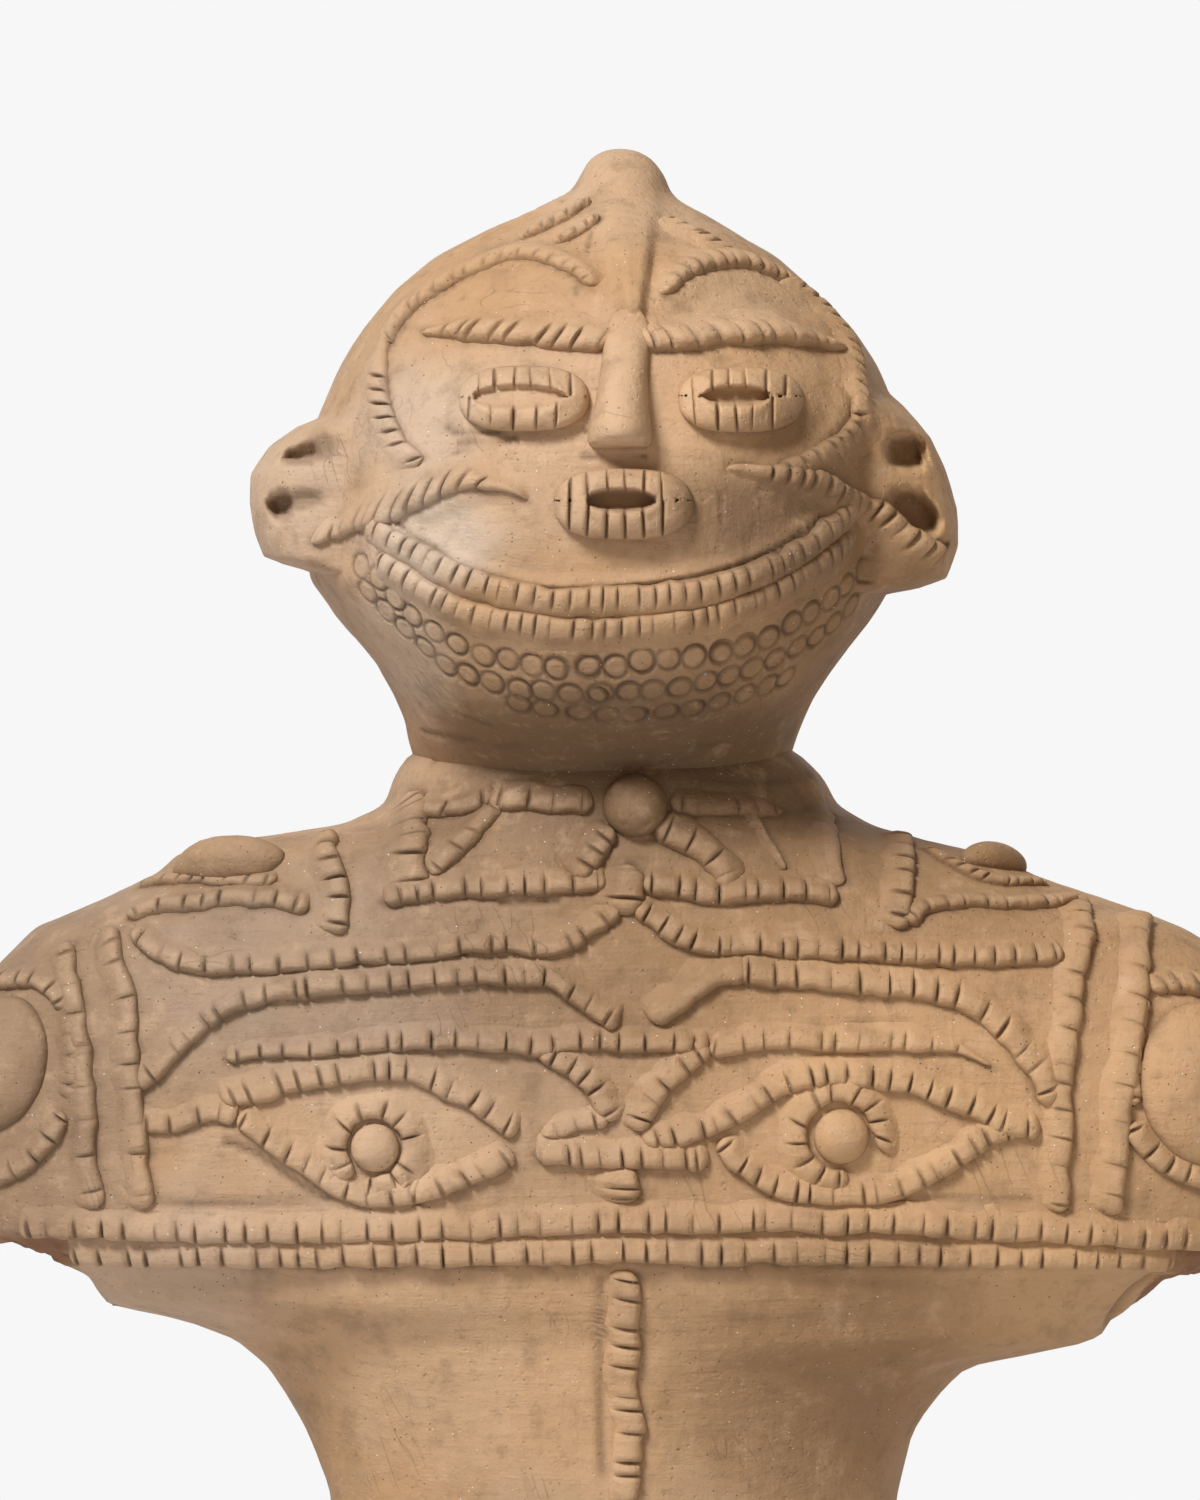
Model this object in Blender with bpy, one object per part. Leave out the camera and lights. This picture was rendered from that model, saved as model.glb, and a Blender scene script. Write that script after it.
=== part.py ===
"""Dogu figurine: a standing figure of fired clay, coil built, with applied clay cords.

One closed solid. The body, head, legs and ears are lofts and ellipsoids joined by Boolean union.
Every applied cord is a strip laid on that surface and joined to it. The arms are broken off under
the shoulders, and each stub is open below, with the clay wall showing around its hollow.
"""

import math

import bmesh
import bpy
from mathutils import Vector
from mathutils.bvhtree import BVHTree

# Driving sizes, in metres
FIGURE_HEIGHT = 0.360
CLAY_WALL = 0.0062
CORD_WIDTH = 0.0046
CORD_RISE = 0.0017
CORD_ROOT = 0.0014
EAR_PIT_DEPTH = 0.006

# The crest on the head: its middle and its radii. The drawing's unit makes its top the full height,
# and every place below is a number of those units.
CREST_PLACE = (-0.5, 3.5, 350.0)
CREST_RADII = (9.5, 13.0, 10.0)
UNIT = FIGURE_HEIGHT / (CREST_PLACE[2] + CREST_RADII[2])
AXIS_Y = 5.5
CAST_FROM = 0.4

# Facets of the rounded forms
BODY_SIDES = 28
HEAD_SIDES = 26
LEG_SIDES = 16
ROUND_SIDES = 12
ROUND_RINGS = 6
CORD_STEP = 3.0
CORD_TOLERANCE = 0.0006
NORMAL_REACH = 0.008

FLAT_ANGLE = 3.0
SHARP_ANGLE = 32.0

# Clay look
CLAY_COLOUR = (0.50, 0.33, 0.20, 1.0)
CLAY_ROUGHNESS = 0.82

# Level: height, centre x, half width, depth in front, depth behind, squareness
BODY_LEVELS = [
    (252.0, -4.0, 34.6, 27.0, 26.0, 2.0),
    (247.5, -3.0, 38.6, 29.0, 28.0, 2.0),
    (242.5, -2.5, 40.5, 30.0, 29.5, 2.0),
    (238.8, -3.0, 48.0, 31.0, 30.5, 2.1),
    (236.2, -6.0, 59.0, 31.5, 31.0, 2.1),
    (233.8, -7.0, 70.0, 32.5, 32.0, 2.1),
    (230.3, -5.5, 78.0, 33.5, 33.0, 2.15),
    (225.8, -4.0, 89.0, 34.5, 34.0, 2.25),
    (220.5, -2.5, 103.0, 35.5, 34.5, 2.35),
    (214.5, -1.0, 110.8, 36.0, 35.0, 2.5),
    (206.0, -0.5, 118.0, 36.5, 35.0, 2.7),
    (196.0, 0.0, 121.5, 37.0, 35.0, 2.9),
    (184.0, 0.0, 123.5, 37.0, 35.0, 3.0),
    (172.0, 0.0, 124.0, 36.5, 35.0, 3.0),
    (167.0, 0.5, 122.5, 36.0, 34.5, 3.0),
    (163.0, 4.5, 114.0, 35.5, 34.5, 2.9),
    (158.0, 6.0, 106.0, 34.5, 34.0, 3.0),
    (154.0, 2.0, 97.0, 34.0, 34.0, 3.0),
    (150.0, 3.0, 85.5, 33.0, 33.0, 2.6),
    (146.0, 6.5, 77.0, 32.0, 32.0, 2.1),
    (141.0, -0.7, 62.5, 31.5, 31.0, 2.1),
    (136.0, -2.0, 57.8, 31.0, 30.5, 2.1),
    (130.0, -2.5, 54.2, 30.5, 30.0, 2.1),
    (120.0, -2.0, 51.2, 30.0, 29.5, 2.1),
    (111.0, -2.0, 50.3, 30.5, 30.0, 2.1),
    (102.0, -1.5, 52.5, 32.0, 32.5, 2.1),
    (90.0, -0.5, 59.0, 35.5, 37.0, 2.3),
    (78.0, 0.0, 63.5, 37.5, 39.5, 2.4),
    (66.0, 0.0, 63.5, 37.0, 39.0, 2.4),
    (57.0, 0.0, 60.0, 34.5, 36.0, 2.4),
    (50.0, 0.0, 53.0, 30.0, 31.0, 2.3),
]
HEAD_LEVELS = [
    (353.0, -1.0, 4.0, 6.0, 5.0, 2.0),
    (350.5, -2.0, 12.0, 15.5, 13.0, 2.0),
    (346.5, -3.0, 20.5, 25.0, 21.0, 2.0),
    (341.0, -3.5, 29.5, 33.5, 29.0, 2.1),
    (335.0, -3.5, 37.0, 40.5, 36.0, 2.15),
    (328.0, -3.0, 43.7, 46.0, 42.0, 2.2),
    (320.0, -3.0, 49.0, 50.0, 46.5, 2.3),
    (312.0, -3.2, 52.4, 52.5, 49.0, 2.35),
    (302.0, -3.5, 53.8, 54.5, 50.0, 2.4),
    (292.0, -3.5, 53.8, 55.5, 49.5, 2.4),
    (283.0, -3.5, 51.6, 55.5, 47.5, 2.35),
    (275.0, -3.0, 46.2, 54.5, 44.5, 2.3),
    (268.0, -3.0, 41.5, 52.5, 41.0, 2.2),
    (262.0, -3.5, 37.8, 49.0, 37.0, 2.15),
    (257.5, -3.8, 35.8, 43.0, 33.5, 2.1),
    (253.5, -4.2, 34.8, 35.5, 30.5, 2.05),
    (249.0, -4.0, 33.0, 28.0, 27.5, 2.0),
    (240.0, -4.0, 30.0, 24.0, 24.0, 2.0),
]
# The leg on the +X side
LEG_LEVELS = [
    (66.0, 30.0, 25.0, 30.0, 32.0, 2.2),
    (50.0, 32.5, 26.0, 31.0, 32.5, 2.2),
    (37.0, 33.5, 25.5, 29.5, 30.5, 2.2),
    (24.0, 34.0, 24.0, 28.5, 28.5, 2.2),
    (12.0, 34.5, 25.0, 30.5, 29.0, 2.3),
    (4.0, 35.0, 26.5, 33.0, 30.0, 2.4),
    (0.0, 35.0, 25.5, 32.0, 29.0, 2.4),
]
# The outside of the hollow stub on the +X side, whose wall is taken off to give its hollow
STUB_LEVELS = [
    (201.0, 104.0, 9.0, 13.0, 13.0, 2.0),
    (196.0, 104.0, 14.0, 21.0, 20.0, 2.0),
    (186.0, 104.0, 17.5, 26.0, 25.0, 2.2),
    (172.0, 104.0, 18.5, 28.0, 27.0, 2.3),
    (140.0, 104.0, 18.5, 28.0, 27.0, 2.3),
]

# Ears: centre x and z, half width, half height, lean in degrees
EAR_Y = -14.0
EAR_HALF_DEPTH = 12.0
EARS = [(-55.8, 297.8, 12.0, 14.0, -4.0), (47.8, 296.4, 11.8, 16.5, -7.0)]

# Round forms set in the front: x, z, half width, rise, half height
SLIT_EYES = [(-19.0, 314.8, 12.0, 4.6, 5.8), (21.0, 314.5, 11.2, 4.6, 5.6)]
MOUTH = (-1.0, 296.0, 11.5, 4.8, 6.0)
NOSE = (-0.5, 314.5, 5.6, 8.0, 8.5)
PENDANT = (1.5, 241.0, 6.0, 7.5, 6.0)
NAVEL = (0.0, 97.0, 6.0, 5.5, 6.0)
CHEST_EYE_BOSSES = [(-44.5, 181.5, 4.6, 3.2, 4.6), (38.5, 183.5, 5.0, 3.2, 5.0)]
ARM_BOSSES = [(-111.0, 196.0, 10.0, 5.0, 14.0), (106.0, 195.0, 12.0, 5.0, 14.5)]
SHOULDER_BOSSES = [(-69.0, 231.0, 11.0, 5.0, 6.5), (58.0, 230.5, 11.0, 5.0, 6.5)]
ROUND_SINK = 0.45
SLIT_HALF_HEIGHT = 1.6
SLIT_DEPTH = 4.2
# Ear pits: x, z, half width, half height
EAR_PITS = [(-57.0, 305.0, 4.0, 2.4), (-60.0, 296.0, 3.2, 2.8), (50.0, 305.0, 3.8, 3.0),
            (51.5, 294.5, 4.6, 3.6)]

# Cords in front: width and rise as shares of CORD_WIDTH and CORD_RISE, then x, z points
FACE_CORDS = [
    (1.6, 1.8, [(-0.5, 352), (0.5, 342), (1.2, 330)]),
    (1.1, 1.3, [(-36, 326.5), (-25, 326.8), (-15, 326), (-3, 325.5)]),
    (1.1, 1.3, [(3, 325), (20, 326.5), (30, 326.2), (37, 324.5)]),
    (0.9, 1.0, [(-6, 337), (-14, 341), (-26, 339), (-37, 332), (-43, 321), (-43, 311), (-36, 303)]),
    (0.9, 1.0, [(6.5, 334.5), (14, 339.5), (26, 338), (36, 330.5), (42, 319), (41, 309), (31, 302)]),
    (1.0, 1.1, [(-20.5, 299.5), (-29, 300.5), (-40, 296.5), (-50, 292)]),
    (1.0, 1.1, [(20, 302), (28, 301), (38, 297.5), (48, 291.5)]),
    (1.0, 1.2, [(-45, 292), (-33, 284.8), (-15, 279.3), (0, 278.7), (15, 280.8), (32, 288), (41, 295)]),
    (1.0, 1.1, [(-43, 286), (-28, 276.8), (-10, 273.8), (5, 274.2), (18, 277), (34, 285), (40, 290)]),
    (0.7, 0.9, [(-5, 350), (-10, 346.5), (-17, 343)]),
    (0.8, 0.9, [(7, 349), (14, 345.5), (21, 341.5)]),
]
COLLAR_CORDS = [
    (0.9, 1.2, [(-42, 225.5), (-30, 227.8), (-15, 228.5), (-4, 228.8)]),
    (1.0, 1.2, [(4, 229), (15, 227.5), (37, 227)]),
    (0.9, 1.0, [(-34, 243.5), (-20, 243.5), (-6, 243)]),
    (0.8, 0.7, [(8, 243), (28, 241)]),
    (0.9, 1.0, [(-3, 238), (-6.5, 234), (-9.5, 230.5)]),
    (1.0, 1.0, [(8, 237.5), (14, 233), (18.5, 229)]),
    (1.2, 1.3, [(-40, 242), (-40.5, 234), (-40, 227)]),
    (0.9, 0.9, [(33.5, 244), (35.5, 236), (37, 228)]),
    (1.7, 1.5, [(-0.5, 231.5), (-0.5, 223.5)]),
]
CHEST_CORDS = [
    (0.8, 1.0, [(-1.5, 224.5), (-10, 218.7), (-25, 217.8), (-55, 215), (-75, 214.3), (-88, 219.5)]),
    (0.8, 1.0, [(2, 224.5), (12, 218.7), (30, 217.3), (60, 216), (78, 216.5)]),
    (0.9, 1.1, [(-1, 203.5), (-9, 209.5), (-17, 212.5), (-50, 211), (-70, 207.5), (-89, 191.5)]),
    (1.1, 1.2, [(4, 204.5), (12, 210), (22, 213), (58, 209), (70, 200), (76, 189)]),
    (0.8, 0.9, [(-71, 197.5), (-40, 200.8), (0, 200.5), (15, 199.8)]),
    (0.8, 0.9, [(15, 199.8), (35, 201), (55, 199.8), (64, 196.5)]),
    (0.9, 1.0, [(-15, 199), (-6, 193.5), (-1.5, 186.5)]),
    (0.9, 1.0, [(15, 199.5), (6, 192), (2, 184.5)]),
    (0.9, 1.1, [(-88, 186), (-72, 188), (-58, 194), (-38, 195), (-26, 189), (-19, 184.5)]),
    (0.9, 1.0, [(-69, 187), (-55, 177.5), (-44, 173.3), (-33, 174.5), (-20, 181)]),
    (0.9, 1.1, [(3, 183), (17, 186), (30, 194), (50, 193.5), (63, 188.5), (74, 185.5)]),
    (0.9, 1.0, [(17, 183), (25, 176), (38, 173.5), (50, 175.5), (70, 185.3)]),
    (1.0, 1.1, [(-16, 180.5), (0, 180), (15, 180)]),
    (1.5, 1.4, [(-0.5, 178), (-0.5, 172)]),
    (1.0, 1.0, [(-93, 222), (-89.5, 208), (-87.5, 185), (-86, 172)]),
    (1.0, 1.0, [(-99.5, 214), (-98, 203), (-96, 180), (-94.5, 171)]),
    (1.0, 1.0, [(81.5, 226), (79.5, 208), (77.5, 190), (77, 172)]),
    (1.0, 1.0, [(92, 224), (89.5, 200), (86.5, 171)]),
    (1.0, 1.0, [(-54, 235), (-51.5, 226), (-51.5, 219.5)]),
    (1.0, 1.0, [(-90, 224), (-77, 225.5), (-56, 225)]),
    (1.0, 1.0, [(49, 236), (49, 226), (48, 220.5)]),
    (0.8, 1.0, [(50, 221), (60, 224.5), (80, 225.5)]),
    (0.9, 0.9, [(-111, 211), (-103, 210)]),
    (0.9, 0.9, [(-103, 184), (-111, 177)]),
    (0.9, 0.9, [(93, 210), (103, 210.5)]),
    (0.9, 0.9, [(90, 186), (103, 176)]),
    (1.0, 1.2, [(-104, 167.5), (-60, 166.8), (0, 168.5), (60, 167.5), (104, 165)]),
    (1.0, 1.2, [(-98, 161.8), (-40, 162.5), (0, 163.2), (60, 162.2), (98, 161.2)]),
    (1.2, 1.3, [(0, 159), (0, 104)]),
]
BACK_CORDS = [
    (1.0, 1.2, [(-42, 291), (-20, 282), (0, 280), (20, 282), (42, 291)]),
    (1.0, 1.2, [(-38, 227), (0, 225), (34, 227)]),
    (0.9, 1.0, [(-92, 220), (-50, 213), (0, 206), (50, 213), (88, 220)]),
    (1.0, 1.0, [(-90, 213), (-88, 172)]),
    (1.0, 1.0, [(86, 213), (84, 172)]),
    (1.0, 1.2, [(-104, 167), (0, 168), (104, 166)]),
    (1.0, 1.2, [(-98, 161.6), (0, 162.6), (98, 161.2)]),
]
# Chest eye rings: centre x, z, middle radius, start and end angle
CHEST_EYE_RINGS = [((-44.5, 181.5), 7.4, 250.0, 590.0), ((38.5, 183.5), 8.2, -20.0, 280.0)]

# Belts all round: centre heights on the trunk and on each leg
TRUNK_BELTS = [113.0]
LEG_BELTS = [20.0]
BELT_HEIGHT = 4.6
BELT_RISE = 1.7
BELT_ROOT = 1.6


def clear_scene():
    """Remove whatever the file holds."""
    for obj in list(bpy.data.objects):
        bpy.data.objects.remove(obj, do_unlink=True)


def collection(name):
    """A new collection in the scene."""
    made = bpy.data.collections.new(name)
    bpy.context.scene.collection.children.link(made)
    return made


def clay_material():
    """Matt fired clay."""
    clay = bpy.data.materials.new("fired_clay")
    clay.use_nodes = True
    shader = clay.node_tree.nodes["Principled BSDF"]
    shader.inputs["Base Color"].default_value = CLAY_COLOUR
    shader.inputs["Roughness"].default_value = CLAY_ROUGHNESS
    shader.inputs["Metallic"].default_value = 0.0
    return clay


def place(x, y, z):
    """A point of the drawing, in metres."""
    return Vector((x * UNIT, y * UNIT, z * UNIT))


def new_object(name, bm, where):
    """Turn a bmesh into an object with outward normals."""
    bmesh.ops.recalc_face_normals(bm, faces=bm.faces)
    mesh = bpy.data.meshes.new(name)
    bm.to_mesh(mesh)
    bm.free()
    obj = bpy.data.objects.new(name, mesh)
    where.objects.link(obj)
    return obj


def superellipse(angle, half_width, half_depth, squareness):
    """A point of a rounded-square outline, at an angle from +X towards +Y."""
    c, s = math.cos(angle), math.sin(angle)
    power = 2.0 / squareness
    return (
        half_width * math.copysign(abs(c) ** power, c),
        half_depth * math.copysign(abs(s) ** power, s),
    )


def ring_points(level, sides, side, inset, phase):
    """The outline of one level, mirrored where side is -1, and moved inwards by inset, in metres."""
    z, centre, half, front, back, squareness = level
    points = []
    for k in range(sides):
        angle = 2.0 * math.pi * (k + phase) / sides
        depth = front if math.sin(angle) < 0.0 else back
        x, y = superellipse(angle, half - inset / UNIT, depth - inset / UNIT, squareness)
        points.append(place(side * (centre + x), AXIS_Y + y, z))
    return points


def loft(name, levels, sides, where, side=1.0, inset=0.0, phase=0.0):
    """A closed skin through the outlines of all levels."""
    bm = bmesh.new()
    rings = [[bm.verts.new(p) for p in ring_points(level, sides, side, inset, phase)] for level in levels]
    for upper, lower in zip(rings, rings[1:]):
        for k in range(sides):
            nxt = (k + 1) % sides
            bm.faces.new((upper[k], upper[nxt], lower[nxt], lower[k]))
    bm.faces.new(rings[0])
    bm.faces.new(list(reversed(rings[-1])))
    return new_object(name, bm, where)


def ellipsoid(name, centre, radii, where, turn=0.0):
    """A stretched ball, turned about the Y axis by an angle in degrees."""
    bm = bmesh.new()
    bmesh.ops.create_uvsphere(bm, u_segments=ROUND_SIDES, v_segments=ROUND_RINGS, radius=1.0)
    bmesh.ops.scale(bm, vec=Vector(radii) * UNIT, verts=bm.verts)
    obj = new_object(name, bm, where)
    obj.rotation_euler = (0.0, math.radians(turn), 0.0)
    obj.location = place(*centre)
    return obj


def bake(obj):
    """Put the object's modifiers and placement into its mesh."""
    bpy.context.view_layer.update()
    graph = bpy.context.evaluated_depsgraph_get()
    mesh = bpy.data.meshes.new_from_object(obj.evaluated_get(graph))
    mesh.transform(obj.matrix_world)
    obj.modifiers.clear()
    obj.data = mesh
    obj.location = (0.0, 0.0, 0.0)
    obj.rotation_euler = (0.0, 0.0, 0.0)
    return obj


def combine(body, tool, operation):
    """Join a tool to the body or cut it away, and remove the tool."""
    step = body.modifiers.new(tool.name, "BOOLEAN")
    step.operation = operation
    step.object = tool
    step.solver = "EXACT"
    bake(body)
    bpy.data.objects.remove(tool, do_unlink=True)


def surface_of(obj):
    """A search tree of the object's faces, for laying cords on it."""
    bpy.context.view_layer.update()
    return BVHTree.FromObject(obj, bpy.context.evaluated_depsgraph_get())


def smooth_path(points, step):
    """Points every step or so along a smooth curve through the given ones."""
    padded = [points[0]] + list(points) + [points[-1]]
    path = []
    for a, b, c, d in zip(padded, padded[1:], padded[2:], padded[3:]):
        pieces = max(1, round(math.dist(b, c) / step))
        for k in range(pieces):
            t = k / pieces
            path.append(tuple(
                0.5 * (2 * q + (r - p) * t + (2 * p - 5 * q + 4 * r - s) * t * t
                       + (3 * q - p - 3 * r + s) * t ** 3)
                for p, q, r, s in zip(a, b, c, d)
            ))
    path.append(tuple(points[-1]))
    return path


def arc_path(centre, radius, start, end, count=9):
    """Points of an arc, angles in degrees from +X towards +Z."""
    turns = [math.radians(start + (end - start) * k / (count - 1)) for k in range(count)]
    return [(centre[0] + radius * math.cos(t), centre[1] + radius * math.sin(t)) for t in turns]


def lay_on(surface, path, behind):
    """Drop each (x, z) of the path on the surface, from the front or from behind."""
    side = 1.0 if behind else -1.0
    direction = Vector((0.0, -side, 0.0))
    laid = []
    for x, z in path:
        start = Vector((x * UNIT, side * CAST_FROM, z * UNIT))
        hit, normal, _, _ = surface.ray_cast(start, direction)
        if hit is not None:
            laid.append((hit, normal))
    even = []
    for hit, _ in laid:
        total = Vector()
        for other, normal in laid:
            total += normal * math.exp(-((other - hit).length / NORMAL_REACH) ** 2)
        even.append((hit, total.normalized()))
    return even


def thin_out(laid, tolerance):
    """Keep only the points that the course of a cord needs, within a tolerance."""
    first, last = laid[0][0], laid[-1][0]
    chord = (last - first).normalized()
    offsets = [((p - first) - chord * (p - first).dot(chord)).length for p, _ in laid]
    worst = max(range(len(laid)), key=offsets.__getitem__)
    if offsets[worst] <= tolerance:
        return [laid[0], laid[-1]]
    return thin_out(laid[:worst + 1], tolerance)[:-1] + thin_out(laid[worst:], tolerance)


def strip(name, laid, width, rise, where, end_share=0.6):
    """A closed cord with a flat-topped section along points with normals, narrower at both ends."""
    bm = bmesh.new()
    rows = []
    last = len(laid) - 1
    for k, (point, normal) in enumerate(laid):
        along = (laid[min(k + 1, last)][0] - laid[max(k - 1, 0)][0]).normalized()
        across = along.cross(normal).normalized()
        up = across.cross(along).normalized()
        share = end_share if k in (0, last) else 1.0
        half = 0.5 * width * share
        top = rise * share
        rows.append([
            bm.verts.new(point - across * half - up * CORD_ROOT),
            bm.verts.new(point - across * half * 0.62 + up * top),
            bm.verts.new(point + across * half * 0.62 + up * top),
            bm.verts.new(point + across * half - up * CORD_ROOT),
        ])
    for a, b in zip(rows, rows[1:]):
        for k in range(4):
            nxt = (k + 1) % 4
            bm.faces.new((a[k], a[nxt], b[nxt], b[k]))
    bm.faces.new(rows[0])
    bm.faces.new(list(reversed(rows[-1])))
    return new_object(name, bm, where)


def level_at(levels, z):
    """The outline's figures at a height between two levels."""
    for upper, lower in zip(levels, levels[1:]):
        if lower[0] <= z <= upper[0]:
            t = (upper[0] - z) / (upper[0] - lower[0])
            return tuple(a + (b - a) * t for a, b in zip(upper, lower))
    return levels[-1]


def belt(name, levels, z, sides, where, side=1.0):
    """A flat-topped band all round a lofted form, at height z."""
    half = 0.5 * BELT_HEIGHT
    rings = []
    for height, out in ((z + half, -BELT_ROOT), (z + 0.6 * half, BELT_RISE),
                        (z - 0.6 * half, BELT_RISE), (z - half, -BELT_ROOT)):
        level = level_at(levels, height)
        rings.append((height, level[1], level[2] + out, level[3] + out, level[4] + out, level[5]))
    return loft(name, rings, sides, where, side, phase=0.5)


def add_round(body, name, form, where):
    """Press a rounded form into the front of the body, so that it stands proud by its rise."""
    x, z, half_width, rise, half_height = form
    point = lay_on(surface_of(body), [(x, z)], behind=False)[0][0]
    centre = (x, point.y / UNIT + ROUND_SINK, z)
    combine(body, ellipsoid(name, centre, (half_width, rise, half_height), where), "UNION")


def cut_pit(body, name, x, z, half_width, depth, half_height, where):
    """Press a rounded pit into the front of the body."""
    point = lay_on(surface_of(body), [(x, z)], behind=False)[0][0]
    pit = ellipsoid(name, (x, point.y / UNIT, z), (half_width, depth, half_height), where)
    combine(body, pit, "DIFFERENCE")


def add_cords(body, name, cords, where, behind=False):
    """Lay each cord of a group on the body and join it."""
    surface = surface_of(body)
    for number, (width, rise, points) in enumerate(cords):
        laid = thin_out(lay_on(surface, smooth_path(points, CORD_STEP), behind), CORD_TOLERANCE)
        cord = strip(f"{name}_{number}", laid, width * CORD_WIDTH, rise * CORD_RISE, where)
        combine(body, cord, "UNION")


def make_figure(parts, cutters):
    """The whole clay figure."""
    body = loft("dogu_figurine", BODY_LEVELS, BODY_SIDES, parts)
    combine(body, loft("head", HEAD_LEVELS, HEAD_SIDES, cutters), "UNION")
    combine(body, ellipsoid("crest", CREST_PLACE, CREST_RADII, cutters), "UNION")
    for number, (x, z, half_width, half_height, lean) in enumerate(EARS):
        radii = (half_width, EAR_HALF_DEPTH, half_height)
        ear = ellipsoid(f"ear_{number}", (x, EAR_Y, z), radii, cutters, lean)
        combine(body, ear, "UNION")
    for side in (-1.0, 1.0):
        combine(body, loft("leg", LEG_LEVELS, LEG_SIDES, cutters, side), "UNION")
        combine(body, loft("hollow", STUB_LEVELS, LEG_SIDES, cutters, side, CLAY_WALL), "DIFFERENCE")
        for z in LEG_BELTS:
            combine(body, belt("leg_belt", LEG_LEVELS, z, LEG_SIDES, cutters, side), "UNION")
    for z in TRUNK_BELTS:
        combine(body, belt("trunk_belt", BODY_LEVELS, z, BODY_SIDES, cutters), "UNION")
    return body


def add_relief(body, cutters):
    """Eyes, nose, mouth, bosses, cords and pits."""
    add_cords(body, "face_cord", FACE_CORDS, cutters)
    add_cords(body, "collar_cord", COLLAR_CORDS, cutters)
    add_cords(body, "chest_cord", CHEST_CORDS, cutters)
    add_cords(body, "back_cord", BACK_CORDS, cutters, behind=True)
    rings = [(0.95, 1.1, arc_path(*ring)) for ring in CHEST_EYE_RINGS]
    add_cords(body, "eye_ring", rings, cutters)
    forms = SLIT_EYES + [MOUTH, NOSE, PENDANT, NAVEL] + CHEST_EYE_BOSSES + ARM_BOSSES + SHOULDER_BOSSES
    for number, form in enumerate(forms):
        add_round(body, f"round_{number}", form, cutters)
    for x, z, half_width, _, _ in SLIT_EYES + [MOUTH]:
        cut_pit(body, "slit", x, z, 0.68 * half_width, SLIT_DEPTH, SLIT_HALF_HEIGHT, cutters)
    for x, z, half_width, half_height in EAR_PITS:
        cut_pit(body, "ear_pit", x, z, half_width, EAR_PIT_DEPTH / UNIT, half_height, cutters)


def merge_flat_faces(body):
    """Merge neighbouring faces that lie almost in one plane."""
    bm = bmesh.new()
    bm.from_mesh(body.data)
    bmesh.ops.dissolve_limit(bm, angle_limit=math.radians(FLAT_ANGLE), verts=bm.verts, edges=bm.edges)
    bm.to_mesh(body.data)
    bm.free()


def main():
    """Build the figure and leave it as one clean object."""
    clear_scene()
    parts = collection("dogu_figurine")
    cutters = collection("cutters")
    body = make_figure(parts, cutters)
    add_relief(body, cutters)
    merge_flat_faces(body)
    body.data.materials.clear()
    body.data.materials.append(clay_material())
    body.data.shade_smooth()
    body.data.set_sharp_from_angle(angle=math.radians(SHARP_ANGLE))


main()
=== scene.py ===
"""Looks of a dogu figurine: fired clay, coil built, with pressed-on cords that are notched across.

The clay bodies start as balls of columns and rows that are laid on the figure's levels, then
pushed in and out by hand-made unevenness, tool lines and punched rings. Each cord is a closed skin of
its own, laid on the body by ray casting and notched ring by ring. Places are in the drawing's units,
of which the figure is 360 high: x to the viewer's right, y away from the viewer, z up.
"""
import logging
import math
from dataclasses import dataclass, field
from enum import Enum
from typing import Callable, Sequence

import bmesh
import bpy
import numpy as np
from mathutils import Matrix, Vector
from mathutils.bvhtree import BVHTree
from mathutils.kdtree import KDTree


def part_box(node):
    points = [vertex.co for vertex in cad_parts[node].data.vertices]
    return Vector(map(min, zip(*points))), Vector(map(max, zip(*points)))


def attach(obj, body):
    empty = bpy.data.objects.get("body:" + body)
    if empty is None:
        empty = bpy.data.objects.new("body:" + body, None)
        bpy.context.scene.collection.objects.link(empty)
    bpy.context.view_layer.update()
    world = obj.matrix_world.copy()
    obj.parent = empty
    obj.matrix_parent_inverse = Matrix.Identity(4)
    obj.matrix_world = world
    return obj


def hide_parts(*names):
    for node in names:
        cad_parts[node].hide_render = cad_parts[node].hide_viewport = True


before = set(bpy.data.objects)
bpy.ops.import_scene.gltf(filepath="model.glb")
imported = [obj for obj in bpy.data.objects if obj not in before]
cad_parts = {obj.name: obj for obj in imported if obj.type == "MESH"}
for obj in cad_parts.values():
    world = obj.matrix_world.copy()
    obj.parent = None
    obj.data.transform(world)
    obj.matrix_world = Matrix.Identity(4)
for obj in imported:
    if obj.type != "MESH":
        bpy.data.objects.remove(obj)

LOG = logging.getLogger("dogu_figurine")
NODE = "dogu_figurine"
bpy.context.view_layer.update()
DRAWING_HEIGHT = 360.0
UNIT = (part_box(NODE)[1][2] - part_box(NODE)[0][2]) / DRAWING_HEIGHT
AXIS_Y = 5.5
SEED = 11

Levels = Sequence[tuple[float, ...]]
Path = Sequence[tuple[float, float]]


class Side(Enum):
    """The way from which a cord is laid on the clay."""

    FRONT = -1.0
    BACK = 1.0


# Shapes shared by all pieces


class Ripple:
    """Smooth irregular waves in space, for clay that was shaped by hand."""

    def __init__(self, wavelength: float, seed: int, count: int = 14) -> None:
        """Choose the waves.

        Args:
            wavelength: typical distance between two crests, in drawing units.
            seed: start of the random draws.
            count: number of waves that are added up.
        """
        rng = np.random.default_rng(SEED + seed)
        ways = rng.normal(size=(count, 3))
        ways /= np.linalg.norm(ways, axis=1)[:, None]
        lengths = wavelength * rng.uniform(0.6, 1.7, count)
        self.ways = ways * (2.0 * math.pi / lengths)[:, None]
        self.starts = rng.uniform(0.0, 2.0 * math.pi, count)
        self.share = 1.6 / count

    def at(self, points: np.ndarray) -> np.ndarray:
        """Heights of the waves, about -1 to 1, at points in drawing units."""
        return np.sin(points @ self.ways.T + self.starts).sum(axis=1) * self.share


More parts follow.
